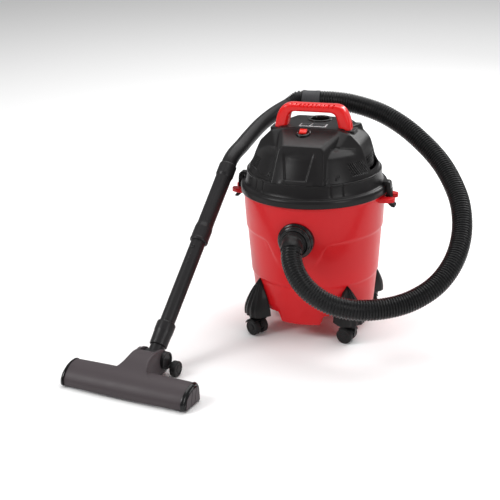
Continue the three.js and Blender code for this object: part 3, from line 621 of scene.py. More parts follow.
# ---- Latches -------------------------------------------------------------------------------------
# A sprung black plastic hook on each side turns on a steel pin in the lug's notch. Its nose snaps over
# the head's rim and its tail sticks out below as the finger grip.
LATCH_PIN = shift(0.183, 0, 0.326)
latch_outline = rounded([
    (-0.007, -0.008, 0.001), (-0.004, -0.012, 0.003), (0.006, -0.022, 0.003), (0.014, -0.022, 0.001),
    (0.014, -0.018, 0.001), (0.005, -0.008, 0.004), (0.004, 0.028, 0.003), (0.002, 0.037, 0.003),
    (-0.002, 0.040, 0.002), (-0.016, 0.040, 0.001), (-0.016, 0.033, 0.001), (-0.007, 0.033, 0.002),
])
rib_outline = rounded([(0.0035, -0.002), (0.0062, 0.000, 0.001), (0.0055, 0.022, 0.001), (0.0030, 0.024)])
for side_name, half_turn in (("left", pi), ("right", 0)):
    latch = slab(latch_outline, -0.0108, 0.0108, 0.0009)
    for rib in (-0.006, 0.0, 0.006):
        added(latch, slab(rib_outline, rib - 0.0011, rib + 0.0011, 0.0004))
    latch.transform(swing(half_turn, "Z") @ LATCH_PIN)
    finished("hook_" + side_name, latch, satin_black, side_name + "_latch", "black_fittings",
             "latch_" + side_name)


# ---- Head base -----------------------------------------------------------------------------------
# The black lower half of the motor head: a rim that caps the tank and an upright band with four clip
# seams in front and behind, closed below by the plate that carries the motor.
SEAM_ANGLES = [radians(a) for a in (-131, -122, -62, -51, 51, 62, 122, 131)]
base_profile = rounded([
    (0.175, 0.338, 0.0015), (0.175, 0.352, 0.003), (0.1715, 0.3572, 0.003), (0.1655, 0.3585, 0.002),
    (0.1628, 0.3640, 0.003), (0.1612, 0.372), (0.1598, 0.380), (0.1592, 0.3845, 0.0015),
    (0.1604, 0.3855, 0.0008), (0.1600, 0.3895, 0.0012), (0.155, 0.3897), (0.159, 0.366), (0.159, 0.356),
    (0.068, 0.356), (0.068, 0.352), (0.152, 0.352), (0.152, 0.330), (0.155, 0.330), (0.155, 0.349),
    (0.1715, 0.349), (0.1715, 0.338),
])
head_base = turned(base_profile, 480)
for v in head_base.verts:
    radius, angle = hypot(v.co.x, v.co.y), atan2(v.co.y, v.co.x)
    if radius > 0.1585 and v.co.z > 0.360:
        off = min(abs((angle - a + pi) % (2 * pi) - pi) for a in SEAM_ANGLES) * radius
        pushed_out(v, -0.0013 * smooth_step((0.0022 - off) / 0.0014))
head_black = moulded("head_black", (0.0095, 0.0088, 0.0092), 0.34, grain=1300, relief=0.14, mottle=0.06)
finished("head_lower", head_base, head_black, "head", "black_shell", "head_base", crease=44)


# ---- Head cover ----------------------------------------------------------------------------------
# The black upper half: a low dome with broad shoulders, a console that slopes down to the front, and
# pressed grooves. It is worked out along rays from the axis: each body is the least of its planes,
# the cover is the greatest of its bodies, and both are blended so that edges and corners are soft.
COVER_FOOT, COVER_TURN, DECK_HEIGHT = 0.3903, 0.440, 0.489
CONSOLE_FRONT, CONSOLE_FRONT_HEIGHT = -0.110, 0.466


def facet(a, b, c):
    """The plane through three points, facing away from the axis."""
    a, b, c = Vector(a), Vector(b), Vector(c)
    normal = (b - a).cross(c - a).normalized()
    offset = normal.dot(a)
    if normal.dot(Vector((0, 0, COVER_TURN))) > offset:
        normal, offset = -normal, -offset
    return normal, offset


def both_sides(a, b, c):
    return [facet(a, b, c), facet(*(Vector((-p[0], p[1], p[2])) for p in (a, b, c)))]


deck_facet = (Vector((0, 0, 1)), DECK_HEIGHT)
dome_outline = (
    (0.1578, 0.3903), (0.1545, 0.396), (0.1425, 0.4235), (0.129, 0.441), (0.112, 0.452), (0.060, 0.4575),
    (0.0, 0.460),
)
dome_facets = []
for (r0, z0), (r1, z1) in zip(dome_outline, dome_outline[1:]):
    across = Vector((r0 - r1, z1 - z0)).normalized()
    dome_facets.append((across.y, across.x, across.y * r0 + across.x * z0))
console_edge = ((0, CONSOLE_FRONT, CONSOLE_FRONT_HEIGHT), (0.05, CONSOLE_FRONT, CONSOLE_FRONT_HEIGHT))
console_facets = [
    facet(*console_edge, (0, -0.1492, 0.397)), facet(*console_edge, (0, -0.022, DECK_HEIGHT)), deck_facet,
    *both_sides((0.053, -0.110, 0.466), (0.071, -0.045, 0.483), (0.0605, -0.149, 0.397)),
    *both_sides((0.0455, -0.110, 0.4660), (0.0645, -0.045, 0.4830), (0.0545, -0.110, 0.4605)),
    (Vector((0, 1, 0)), 0.05),
]
shoulder_facets = [
    deck_facet,
    *both_sides((0.0625, -0.02, DECK_HEIGHT), (0.0625, 0.08, DECK_HEIGHT), (0.096, 0, 0.4808)),
    *both_sides((0.0965, -0.02, 0.4805), (0.0965, 0.06, 0.4805), (0.121, 0, 0.457)),
    *both_sides((0.121, -0.02, 0.457), (0.121, 0.06, 0.457), (0.1325, 0, 0.430)),
    *both_sides((0.1335, -0.02, 0.430), (0.1335, 0.06, 0.430), (0.1375, 0, 0.400)),
    facet((0, -0.029, DECK_HEIGHT), (0.05, -0.029, DECK_HEIGHT), (0, -0.108, 0.428)),
    *both_sides((0.100, -0.034, 0.480), (0.124, -0.036, 0.457), (0.076, -0.070, 0.458)),
    *both_sides((0.124, -0.036, 0.457), (0.134, -0.040, 0.430), (0.092, -0.092, 0.436)),
    *both_sides((0.096, 0.060, 0.481), (0.062, 0.092, DECK_HEIGHT), (0.064, 0.118, 0.463)),
    *both_sides((0.121, 0.060, 0.457), (0.132, 0.052, 0.430), (0.064, 0.120, 0.463)),
    facet((0, 0.092, DECK_HEIGHT), (0.05, 0.092, DECK_HEIGHT), (0, 0.118, 0.466)),
    facet((0, 0.118, 0.466), (0.05, 0.118, 0.466), (0, 0.129, 0.430)),
]
EDGE_SOFTNESS, VALLEY_SOFTNESS = 1 / 0.0011, 1 / 0.0016


def soft_least(values, softness):
    low = min(values)
    return low - log(sum(exp((low - v) * softness) for v in values if v < low + 0.03)) / softness


def soft_most(values, softness):
    return -soft_least([-v for v in values], softness)


def cover_reach(centre, way):
    """How far the cover's surface lies from a point on the axis in a direction."""
    out = Vector((hypot(way.x, way.y), way.z))
    dome = [(offset - across_z * centre.z) / (across_r * out.x + across_z * out.y)
            for across_r, across_z, offset in dome_facets if across_r * out.x + across_z * out.y > 0.02]
    bodies = [soft_least(dome, EDGE_SOFTNESS)]
    for facets in (console_facets, shoulder_facets):
        exits = [(offset - normal.dot(centre)) / normal.dot(way) for normal,
                 offset in facets if normal.dot(way) > 0.02]
        bodies.append(soft_least(exits, EDGE_SOFTNESS))
    return soft_most(bodies, VALLEY_SOFTNESS)


def off_path(x, z, path):
    """The distance of a place on the front from a broken line drawn in X and Z."""
    best = 1.0
    for (ax, az), (bx, bz) in zip(path, path[1:]):
        length = (bx - ax) ** 2 + (bz - az) ** 2
        t = min(max(((x - ax) * (bx - ax) + (z - az) * (bz - az)) / length, 0), 1)
        best = min(best, hypot(x - ax - t * (bx - ax), z - az - t * (bz - az)))
    return best


RECESS_LEFT = ((-0.030, 0.3985), (-0.040, 0.445))
RECESS_RIGHT = ((0.0215, 0.3985), (0.031, 0.453))
RECESS_DEPTH, GROOVE_DEPTH, LINE_DEPTH, TAB_RISE = 0.0034, 0.0022, 0.0010, 0.0016
SHOULDER_GROOVE = (
    (-0.132, 0.4035), (-0.108, 0.4045), (-0.100, 0.3975), (-0.072, 0.3965), (-0.0695, 0.4055),
)
RIGHT_GROOVE = ((0.064, 0.4585), (0.092, 0.4530), (0.112, 0.4500))
TABS = (((0.063, 0.3965), (0.067, 0.4025)), ((0.086, 0.3985), (0.089, 0.4040)))
LOUVRE_HEIGHT, LOUVRE_PITCH, LOUVRE_DEPTH = 0.4135, 0.0062, 0.0026


def louvred(x, y, z):
    """The slanted louvres pressed into the cover in front of each side window."""
    angle, above = atan2(y, abs(x)), z - LOUVRE_HEIGHT
    around = abs(angle + radians(30.5)) / radians(11.5)
    inside = smooth_step((1 - around) / 0.12) * smooth_step((0.0145 - abs(above)) / 0.002)
    slanted = (angle * 0.145 + above * 0.45) / LOUVRE_PITCH
    return LOUVRE_DEPTH * inside * smooth_step(sin(slanted * 2 * pi) * 1.2 + 0.5)


def across_at(edge, z):
    """Where a slanted edge of the front recess lies at a height."""
    (x0, z0), (x1, z1) = edge
    return x0 + (x1 - x0) * (z - z0) / (z1 - z0)


def pressed(x, y, z):
    """How deep the front of the cover is pressed in at a place."""
    if y > -0.02:
        return 0.0
    left = across_at(RECESS_LEFT, z)
    right = across_at(RECESS_RIGHT, z)
    inside = min(x - left, right - x, z - 0.3965)
    deep = RECESS_DEPTH * smooth_step(inside / 0.0030 + 0.4) * smooth_step((0.458 - z) / 0.030)
    deep += GROOVE_DEPTH * smooth_step((0.0030 - off_path(x, z, SHOULDER_GROOVE)) / 0.0022)
    deep += LINE_DEPTH * smooth_step((0.0022 - off_path(x, z, RIGHT_GROOVE)) / 0.0016)
    deep += louvred(x, y, z)
    for tab in TABS:
        deep -= TAB_RISE * smooth_step((0.0024 - off_path(x, z, tab)) / 0.0014)
    return deep


WINDOW_HALF_ANGLE, WINDOW_LOW, WINDOW_HIGH = radians(16), 0.3985, 0.4295
PORT_PLACE, PORT_HOLE, SHOULDER_HEIGHT = Vector((0, 0.058)), 0.0245, 0.46
ROW_STEP = 0.0014


def spread(low, high, step):
    count = max(1, round((high - low) / step))
    return [low + (high - low) * i / count for i in range(count)]


cover_columns = (spread(-pi + WINDOW_HALF_ANGLE, -WINDOW_HALF_ANGLE, radians(0.5))
                 + spread(-WINDOW_HALF_ANGLE, WINDOW_HALF_ANGLE, radians(1.0))
                 + spread(WINDOW_HALF_ANGLE, pi - WINDOW_HALF_ANGLE, radians(1.0))
                 + spread(pi - WINDOW_HALF_ANGLE, pi + WINDOW_HALF_ANGLE, radians(1.0)))
row_heights = (spread(COVER_FOOT, WINDOW_LOW, ROW_STEP) + spread(WINDOW_LOW, WINDOW_HIGH, ROW_STEP)
               + spread(WINDOW_HIGH, COVER_TURN, ROW_STEP))
cover_rows = [(Vector((0, 0, z)), 0.0) for z in row_heights]
cover_rows += [(Vector((0, 0, COVER_TURN)), tilt) for tilt in spread(0, pi / 2, radians(0.85))]


def make_head_cover():
    bm = bmesh.new()
    grid = []
    for centre, tilt in cover_rows:
        row = []
        for angle in cover_columns:
            way = Vector((cos(tilt) * cos(angle), cos(tilt) * sin(angle), sin(tilt)))
            place = centre + way * cover_reach(centre, way)
            row.append(bm.verts.new(place - way * pressed(*place)))
        grid.append(row)
    top = bm.verts.new((0, 0, COVER_TURN + cover_reach(Vector((0, 0, COVER_TURN)), Vector((0, 0, 1)))))
    count = len(cover_columns)
    for j, (low, high) in enumerate(zip(grid, grid[1:])):
        for i in range(count):
            lap = 2 * pi if i == count - 1 else 0
            angle = (cover_columns[i] + cover_columns[(i + 1) % count] + lap) / 2
            window = min(abs(angle), abs(angle - pi), abs(angle + pi)) < WINDOW_HALF_ANGLE
            height = (cover_rows[j][0].z + cover_rows[j + 1][0].z) / 2
            if window and WINDOW_LOW < height < WINDOW_HIGH and cover_rows[j + 1][1] == 0:
                continue
            corners = (low[i], low[(i + 1) % count], high[(i + 1) % count], high[i])
            middle = sum((c.co for c in corners), Vector()) / 4
            if (middle.xy - PORT_PLACE).length < PORT_HOLE and middle.z > SHOULDER_HEIGHT:
                continue
            bm.faces.new(corners)
    for i in range(count):
        bm.faces.new((grid[-1][i], grid[-1][(i + 1) % count], top))
    outward(bm)
    rims = [e for e in bm.edges if e.is_boundary]
    walls = bmesh.ops.extrude_edge_only(bm, edges=rims)
    for v in verts_of(walls):
        if v.co.z > SHOULDER_HEIGHT:
            v.co.z -= 0.004
        else:
            v.co.xy *= 1 - 0.005 / v.co.xy.length
    seat = [(-0.023, -0.0215, 0.006), (0.020, -0.0215, 0.006), (0.020, 0.0215, 0.006),
            (-0.023, 0.0215, 0.006)]
    for side, turn in ((-1, 0), (1, pi)):
        collar = slab(rounded(seat), 0, 0.011, 0.0016)
        collar.transform(shift(side * 0.0785, 0, 0.474) @ swing(turn, "Z")
                         @ swing(pi / 2, "X"))
        added(bm, collar)
    loose = [v for v in bm.verts if not v.link_faces]
    bmesh.ops.delete(bm, geom=loose, context="VERTS")
    return outward(bm)


finished("head_upper", make_head_cover(), head_black, "head", "black_shell", "head_cover", crease=50)


# ---- Vents ---------------------------------------------------------------------------------------
# A moulded black grille behind each side window: a thin curved backing with a row of slanted louvres.
# Each is clipped in from inside the head.
VENT_SPANS, SLATS = 24, 11


def skinned(bm, rings):
    """Closes rings of vertices into one skin, with a face over each end."""
    count = len(rings[0])
    for a, b in zip(rings, rings[1:]):
        for k in range(count):
            after = (k + 1) % count
            bm.faces.new((a[k], a[after], b[after], b[k]))
    bm.faces.new(rings[0])
    bm.faces.new(rings[-1])
    return outward(bm)


def make_vent():
    bm = bmesh.new()
    half = WINDOW_HALF_ANGLE - radians(0.4)
    rows = [(0.1285, 0.3988), (0.1285, 0.4292), (0.1315, 0.4292), (0.1315, 0.3988)]
    sides = []
    for i in range(VENT_SPANS + 1):
        angle = -half + 2 * half * i / VENT_SPANS
        sides.append([bm.verts.new((r * cos(angle), r * sin(angle), z)) for r, z in rows])
    skinned(bm, sides)
    for i in range(SLATS):
        middle = half * (i - 5) / 5.4
        slat = slab(rounded([(0.1312, -0.0150), (0.1415, -0.0150, 0.001), (0.1375, 0.0150, 0.001),
                             (0.1312, 0.0150)]), -0.0013, 0.0013, 0.0004, 2)
        slat.transform(swing(middle, "Z") @ shift(0, 0, 0.414)
                       @ swing(radians(24), "X"))
        added(bm, slat)
    return bm


for side_name, half_turn in (("left", pi), ("right", 0)):
    vent = make_vent()
    vent.transform(swing(half_turn, "Z"))
    finished("louvres_" + side_name, vent, head_black, "head", "black_shell", "vent_" + side_name)


# ---- Carrying handle -----------------------------------------------------------------------------
# One glossy red moulding, screwed down into a seat on each shoulder from inside the head. Its bar has a
# row of finger notches along the front.
BAR_TOP, BAR_UNDER, BAR_STEP, BAR_END = 0.5412, 0.523, 0.0008, 0.0292
BAR_HALF_DEPTH, BAR_SIDES, BAR_SQUARENESS = 0.0168, 32, 5
NOTCH_PITCH, NOTCH_DEPTH = 0.0095, 0.0030
handle_outer = [
    (-0.0925, 0.4813), (-0.0905, 0.495), (-0.0875, 0.508), (-0.0835, 0.5195), (-0.0775, 0.530),
    (-0.069, 0.5375), (-0.058, 0.541), (-0.03, 0.5412),
]
handle_inner = [
    (-0.0635, 0.4813), (-0.0605, 0.495), (-0.0575, 0.508), (-0.0555, 0.5145), (-0.0520, 0.5190),
    (-0.0480, 0.5215), (-0.0430, 0.5228), (-0.03, 0.523),
]


def bar_offset(centre, half_height, turn):
    """How far a point of the bar's squarish, notched section lies sideways and outwards."""
    u, w = cos(turn), sin(turn)
    size = (abs(u) ** BAR_SQUARENESS + abs(w) ** BAR_SQUARENESS) ** (-1 / BAR_SQUARENESS)
    sideways, outwards = u * size * BAR_HALF_DEPTH, w * size * half_height
    if abs(centre.x) < 0.054 and centre.z > 0.5 and sideways < -0.006 and outwards > 0.0035:
        off = abs((centre.x + NOTCH_PITCH / 2) % NOTCH_PITCH - NOTCH_PITCH / 2)
        notch = NOTCH_DEPTH * smooth_step((0.0021 - off) / 0.0010)
        sideways += notch
        outwards -= notch
    return sideways, outwards


def make_handle():
    outer = Line([(x, 0, z) for x, z in handle_outer], BAR_STEP)
    inner_points = [(x, 0, z) for x, z in handle_inner]
    inner = Line(inner_points, Line(inner_points, 0.001).length / (len(outer.points) - 1))
    left = list(zip(outer.points, inner.points))
    middle = [(Vector((x, 0, BAR_TOP)), Vector((x, 0, BAR_UNDER)))
              for x in spread(-BAR_END, BAR_END + BAR_STEP, BAR_STEP)]
    right = [(Vector((-a.x, 0, a.z)), Vector((-b.x, 0, b.z))) for a, b in reversed(left)]
    bm = bmesh.new()
    rings = []
    for a, b in left + middle + right:
        centre, half = (a + b) / 2, (a - b) / 2
        ring = []
        for k in range(BAR_SIDES):
            sideways, outwards = bar_offset(centre, half.length, 2 * pi * (k + 0.5) / BAR_SIDES)
            ring.append(bm.verts.new(centre + Vector((0, sideways, 0)) + half.normalized() * outwards))
        rings.append(ring)
    return skinned(bm, rings)


handle_red = moulded("handle_red", (0.75, 0.010, 0.010), 0.22, grain=1100, relief=0.05, coat=0.35,
                     mottle=0.03)
finished("handle", make_handle(), handle_red, "head", "red_gloss", "carry_handle", crease=50)


# ---- Fittings on the head ------------------------------------------------------------------------
# The blower outlet behind the handle, a blank silver badge on the deck, the rocker switch in its round
# bezel on the console, and the rubber gland for the mains lead at the back.
port_profile = rounded([
    (0.021, 0.462), (0.0241, 0.462), (0.0241, 0.4893), (0.030, 0.4893, 0.0005), (0.0292, 0.4922, 0.0012),
    (0.0222, 0.4922, 0.0012), (0.021, 0.486),
])
port = turned(port_profile, 72)
port.transform(shift(*PORT_PLACE, 0))
finished("outlet", port, gloss_black, "head", "black_gloss", "blower_port")

badge = slab(rounded([(-0.032, -0.013, 0.0015), (0.032, -0.013, 0.0015), (0.032, 0.013, 0.0015),
                      (-0.032, 0.013, 0.0015)]), -0.0014, 0.0, 0.0003, 2)
badge.transform(shift(0, -0.004, 0.4893) @ swing(-pi / 2, "X"))
badge_finish = Finish("badge_silver", Metallic=0.55, Roughness=0.28)
badge_finish.wear("Base Color", badge_finish.mixed(badge_finish.noise(120, 3), (0.72, 0.73, 0.74),
                                                   (0.85, 0.86, 0.87)))
finished("badge", badge, badge_finish.material, "head", "silver_trim", "badge_plate")
badge_field = moulded("badge_field", (0.030, 0.030, 0.034), 0.25, relief=0.03)
FIELD_SIDES = ((-0.029, -0.029, -0.002, -0.009), (-0.005, 0.002, 0.029, 0.029))
FIELD_LEAN = 0.0035
fields = bmesh.new()
for left_low, left_high, right_high, right_low in FIELD_SIDES:
    for low, high in ((-0.0102, -0.0012), (0.0012, 0.0102)):
        left_lean = FIELD_LEAN if left_high != left_low else 0
        right_lean = FIELD_LEAN if right_low != right_high else 0
        added(fields,
              slab([(left_low, low), (left_high - left_lean, high), (right_high - right_lean, high),
                    (right_low, low)], -0.0006, 0.0, 0.0001, 1))
fields.transform(shift(0, -0.004, 0.4907) @ swing(-pi / 2, "X"))
finished("badge_fields", fields, badge_field, "head", "silver_trim")

CONSOLE_SLOPE = atan2(DECK_HEIGHT - CONSOLE_FRONT_HEIGHT, 0.088)
AT_SWITCH = (AT_TANK @ shift(0, -0.066, (CONSOLE_FRONT_HEIGHT + DECK_HEIGHT) / 2) @ swing(CONSOLE_SLOPE, "X")
             @ shift(-0.012, 0.015, 0))
bezel_profile = rounded([
    (0.0, 0.0003), (0.0175, 0.0003), (0.0175, 0.0026, 0.0012), (0.0150, 0.0040, 0.0010),
    (0.0128, 0.0042, 0.0008), (0.0118, 0.0022, 0.0006), (0.0, 0.0020),
], closed=False)
finished("switch_ring", turned(bezel_profile, 64, closed=False), gloss_black, "head", "black_gloss",
         "switch_bezel", place=AT_SWITCH)
rocker = slab(rounded([
    (-0.0070, 0.0026), (-0.0072, 0.0074, 0.0010), (-0.0030, 0.0060, 0.002), (0.0030, 0.0066, 0.002),
    (0.0072, 0.0092, 0.0010), (0.0070, 0.0026),
]), -0.0084, 0.0084, 0.0008)
rocker.transform(swing(pi / 2, "Z"))
switch_red = moulded("switch_red", (0.80, 0.022, 0.014), 0.18, relief=0.03, coat=0.3, mottle=0.02)
finished("rocker", rocker, switch_red, "switch", "red_gloss", "switch_rocker", place=AT_SWITCH)

gland_profile = rounded([
    (0.0, 0.1504), (0.0090, 0.1504), (0.0090, 0.1530), (0.0080, 0.1534), (0.0080, 0.1552),
    (0.0086, 0.1556), (0.0082, 0.1584), (0.0074, 0.1588), (0.0074, 0.1606), (0.0079, 0.1610),
    (0.0072, 0.1656, 0.0008), (0.0034, 0.1660, 0.0008), (0.0034, 0.1600), (0.0, 0.1600),
], closed=False)
gland = turned(gland_profile, 40, closed=False)
gland.transform(shift(0, 0, 0.415) @ swing(-pi / 2, "X"))
finished("lead_gland", gland, satin_black, "head", "black_fittings", "cord_gland")


# ---- Bend relief, grip and hose end cuff ---------------------------------------------------------
# The hose ends in a matt grey rubber cuff. The wand turns in it: a ribbed bend relief, then a smooth
# black grip tube that curves down past the vacuum's left side to the wand tubes.
AT_PIVOT = shift(-0.268, -0.403, 0.040) @ swing(radians(-8.8), "Z")
ON_WAND = AT_PIVOT @ swing(radians(-48.5), "X")
AT_NOZZLE, AT_WAND = AT_TANK @ AT_PIVOT, AT_TANK @ ON_WAND
HOSE_END = Vector((-0.040, 0.2145, 0.497))
HOSE_END_WAY = Vector((-0.9875, -0.1544, 0.0308)).normalized()
CUFF_LENGTH = 0.046

end_cuff_profile = rounded([
    (0.0152, 0.0004), (0.0215, 0.0004), (0.0243, 0.0016, 0.0008), (0.0243, 0.010, 0.0008),
    (0.0236, 0.0108, 0.0006), (0.0232, 0.036, 0.001), (0.0240, 0.0372, 0.0008), (0.0240, 0.0456, 0.0012),
    (0.0152, 0.0459),
])
end_cuff_line = Line([HOSE_END, HOSE_END + HOSE_END_WAY * CUFF_LENGTH], 0.002)
cuff_grey = moulded("cuff_grey", (0.048, 0.049, 0.052), 0.50, grain=900, relief=0.18)
end_cuff = finished("hose_grey_cuff", led_along(turned(end_cuff_profile, 64), end_cuff_line), cuff_grey,
                    "tank", "cuff_grey", "hose_end_cuff")

grip_points = [HOSE_END + HOSE_END_WAY * (CUFF_LENGTH - 0.002),
               HOSE_END + HOSE_END_WAY * (CUFF_LENGTH + 0.010)]
grip_points += [Vector(p) / 1000 for p in (
    (-114, 197, 487), (-146, 170, 469), (-170, 134, 450), (-186, 88, 430), (-196, 46, 414),
    (-203, 14, 404),
)]
grip_points += [ON_WAND @ Vector((0, 0, 0.532)), ON_WAND @ Vector((0, 0, 0.5184))]
grip_line = Line(grip_points, 0.002)
RELIEF_END = grip_line.length * 0.1
relief_profile = [(0.0152, 0.0024), (0.0212, 0.0024)]
relief_ribs = 7
rib = (RELIEF_END - 0.0024) / relief_ribs
for i in range(relief_ribs):
    start = 0.0024 + i * rib
    shrink = 0.0014 * i / relief_ribs
    relief_profile += [(0.0190 - shrink, start + rib * 0.12), (0.0190 - shrink, start + rib * 0.42),
                       (0.0213 - shrink, start + rib * 0.54), (0.0213 - shrink, start + rib * 0.94)]
relief_profile.append((0.0152, RELIEF_END - 0.0004))
relief_black = moulded("relief_black", (0.012, 0.012, 0.013), 0.42, grain=900, relief=0.12)
finished("ribbed_relief", led_along(turned(relief_profile, 56), grip_line), relief_black, "wand",
         "tube_plastic", "bend_relief", crease=50)

tube_black = moulded("tube_black", (0.0175, 0.0165, 0.0175), 0.34, grain=1200, relief=0.10)
grip_end = grip_line.length
grip_profile = rounded([
    (0.016, RELIEF_END), (0.0188, RELIEF_END, 0.001), (0.0192, RELIEF_END + 0.006, 0.001),
    (0.0183, RELIEF_END + 0.010, 0.002), (0.0185, RELIEF_END + 0.060), (0.0187, RELIEF_END + 0.14),
    (0.0185, grip_end - 0.030, 0.002), (0.0185, grip_end - 0.002), (0.0172, grip_end - 0.0004, 0.001),
    (0.016, grip_end),
], steps=5)
even = []
for (r0, z0), (r1, z1) in zip(grip_profile, grip_profile[1:]):
    pieces = max(1, round((z1 - z0) / 0.004))
    even += [(r0 + (r1 - r0) * i / pieces, z0 + (z1 - z0) * i / pieces) for i in range(pieces)]
even.append(grip_profile[-1])
even += [(0.016, grip_end - (grip_end - RELIEF_END) * i / 90) for i in range(1, 90)]
finished("grip_tube", led_along(turned(even, 64), grip_line), tube_black, "wand", "tube_plastic", "grip")


# ---- Wand tubes ----------------------------------------------------------------------------------
# Two black plastic tubes push together: the lower one slides into a collar on the upper one and is held
# by a small sprung button. A moulded line runs along each of them.
RIDGE_ANGLES, RIDGE_RISE, RIDGE_HALF_WIDTH = (radians(-38), radians(142)), 0.0006, 0.00055


def ridges(radius, low, high):
    """The fine raised line along each side of a tube."""
    inner, outer = radius - RIDGE_RISE, radius + RIDGE_RISE
    outline = rounded([(inner, low), (outer, low, 0.0004), (outer, high, 0.0004), (inner, high)])
    lines = []
    for angle in RIDGE_ANGLES:
        lines.append(slab(outline, -RIDGE_HALF_WIDTH, RIDGE_HALF_WIDTH, 0.0003, 2))
        lines[-1].transform(swing(angle, "Z"))
    return lines


upper_profile = rounded([
    (0.0179, 0.302), (0.0212, 0.302, 0.001), (0.0221, 0.304, 0.001), (0.0221, 0.3085, 0.0008),
    (0.0215, 0.3095, 0.0006), (0.0216, 0.338, 0.002), (0.0197, 0.348, 0.003), (0.0195, 0.352),
    (0.0195, 0.482, 0.002), (0.0211, 0.4865, 0.0015), (0.0215, 0.489, 0.001), (0.0215, 0.5145, 0.0012),
    (0.0206, 0.518, 0.001), (0.0179, 0.518),
])
upper_tube = added(turned(upper_profile, 64), *ridges(0.0195, 0.349, 0.482))
finished("upper_tube", upper_tube, tube_black, "wand", "tube_plastic", "wand_upper", place=AT_WAND)
lower_profile = rounded([
    (0.0151, 0.088), (0.0176, 0.088), (0.0176, 0.160), (0.0176, 0.255), (0.0176, 0.340), (0.0151, 0.340),
])
lower_tube = added(turned(lower_profile, 64), *ridges(0.0176, 0.0885, 0.3015))
for height in (0.240, 0.250, 0.260):
    dimple = turned(rounded([
        (0, 0.0172), (0.0034, 0.0172), (0.0034, 0.0180, 0.0004), (0.0026, 0.0182, 0.0003), (0, 0.0178),
    ], closed=False), 24, closed=False)
    dimple.transform(shift(0, 0, height) @ swing(pi / 2, "X"))
    added(lower_tube, dimple)
finished("lower_tube", lower_tube, tube_black, "wand", "tube_plastic", "wand_lower", place=AT_WAND)
button = turned(rounded([
    (0, 0.0154), (0.0040, 0.0154), (0.0040, 0.0186, 0.001), (0.0030, 0.0196, 0.0012), (0, 0.0198),
], closed=False), 32, closed=False)
button.transform(shift(0, 0, 0.282) @ swing(pi / 2, "X"))
finished("tube_catch", button, gloss_black, "tube_button", "black_gloss", "wand_button", place=AT_WAND)


# ---- Elbow ---------------------------------------------------------------------------------------
# The joint at the foot of the wand, one black moulding: a barrel that rolls in the nozzle, its neck, and
# the socket that the lower tube pushes into.
barrel_profile = rounded([
    (0.0, -0.0355), (0.0155, -0.0355, 0.001), (0.0160, -0.0380, 0.0008), (0.0203, -0.0380, 0.0016),
    (0.0203, -0.0300), (0.0203, 0.0300), (0.0203, 0.0380, 0.0016), (0.0160, 0.0380, 0.0008),
    (0.0155, 0.0355, 0.001), (0.0, 0.0355),
], closed=False)
barrel = turned(barrel_profile, 72, closed=False)
barrel.transform(swing(pi / 2, "Y"))
neck_profile = rounded([
    (0.0, 0.004), (0.0182, 0.004), (0.0174, 0.012), (0.0172, 0.029), (0.0190, 0.0298),
    (0.0206, 0.0310, 0.0012), (0.0209, 0.045), (0.0213, 0.060), (0.0222, 0.0655, 0.001),
    (0.0222, 0.0855, 0.0015), (0.0212, 0.0880, 0.001), (0.0180, 0.0880), (0.0180, 0.080), (0.0, 0.080),
], closed=False)
elbow_body = added(barrel, turned(neck_profile, 72, closed=False))
finished("elbow_joint", elbow_body, tube_black, "wand", "tube_plastic", "elbow", place=AT_WAND)


# ---- Nozzle --------------------------------------------------------------------------------------
# A wide warm grey shell over a steel sole. Its crowned back flares up into the seat of the elbow, which
# has a slot on top for the neck. Its outline at each place along X is a blend of three sections.
NOSE = [(-0.138, -0.036), (-0.1425, -0.0325, 0.002), (-0.1432, -0.020, 0.006), (-0.134, -0.0070, 0.010)]
RISE = [*NOSE, (-0.116, 0.0045, 0.012), (-0.094, 0.0105, 0.016), (-0.062, 0.0265, 0.020)]
UNDERSIDE = [(0.010, -0.0305, 0.004), (-0.050, -0.0305, 0.006), (-0.066, -0.036)]
BODY_SECTION = rounded([
    *NOSE, (-0.116, 0.0042, 0.012), (-0.097, 0.0092, 0.010), (-0.078, 0.0078, 0.008),
    (-0.068, -0.0030, 0.008), (-0.066, -0.036),
], False, 6)
SEAT_SECTION = rounded([
    *RISE, (-0.040, 0.0305, 0.008), (-0.018, 0.0285, 0.006), (0.008, 0.0235, 0.010),
    (0.0225, 0.0060, 0.008), (0.0228, -0.0220, 0.004), *UNDERSIDE,
], False, 6)
ARC = [(0.0196 * cos(radians(a)), 0.0196 * sin(radians(a))) for a in range(128, -38, -12)]
SLOT_SECTION = rounded([*RISE, (-0.040, 0.0303, 0.006), (-0.0225, 0.0284, 0.003), *ARC,
                        (0.0222, -0.0150, 0.001), (0.0228, -0.0220, 0.003), *UNDERSIDE],
                       False, 6)
SECTION_POINTS = 84


def even_points(outline, marks):
    """A section resampled so that its stretches before and after the marks hold fixed shares of points."""
    gone = [0.0]
    for a, b in zip(outline, outline[1:]):
        gone.append(gone[-1] + hypot(b[0] - a[0], b[1] - a[1]))
    out = []
    for i in range(SECTION_POINTS + 1):
        want = gone[-1] * looked_up(((0, 0), *marks, (1, 1)), i / SECTION_POINTS)
        at = max(j for j in range(len(gone) - 1) if gone[j] <= want + 1e-12)
        share = (want - gone[at]) / max(gone[at + 1] - gone[at], 1e-9)
        out.append(Vector((outline[at][0] + (outline[at + 1][0] - outline[at][0]) * share,
                           outline[at][1] + (outline[at + 1][1] - outline[at][1]) * share)))
    return out


body_points = even_points(BODY_SECTION, ((0.32, 0.40), (0.90, 0.80)))
seat_points = even_points(SEAT_SECTION, ((0.32, 0.19), (0.90, 0.80)))
slot_points = even_points(SLOT_SECTION, ((0.32, 0.18), (0.90, 0.82)))
NOZZLE_HALF, SLOT_HALF, SEAT_HALF = 0.149, 0.0194, 0.030


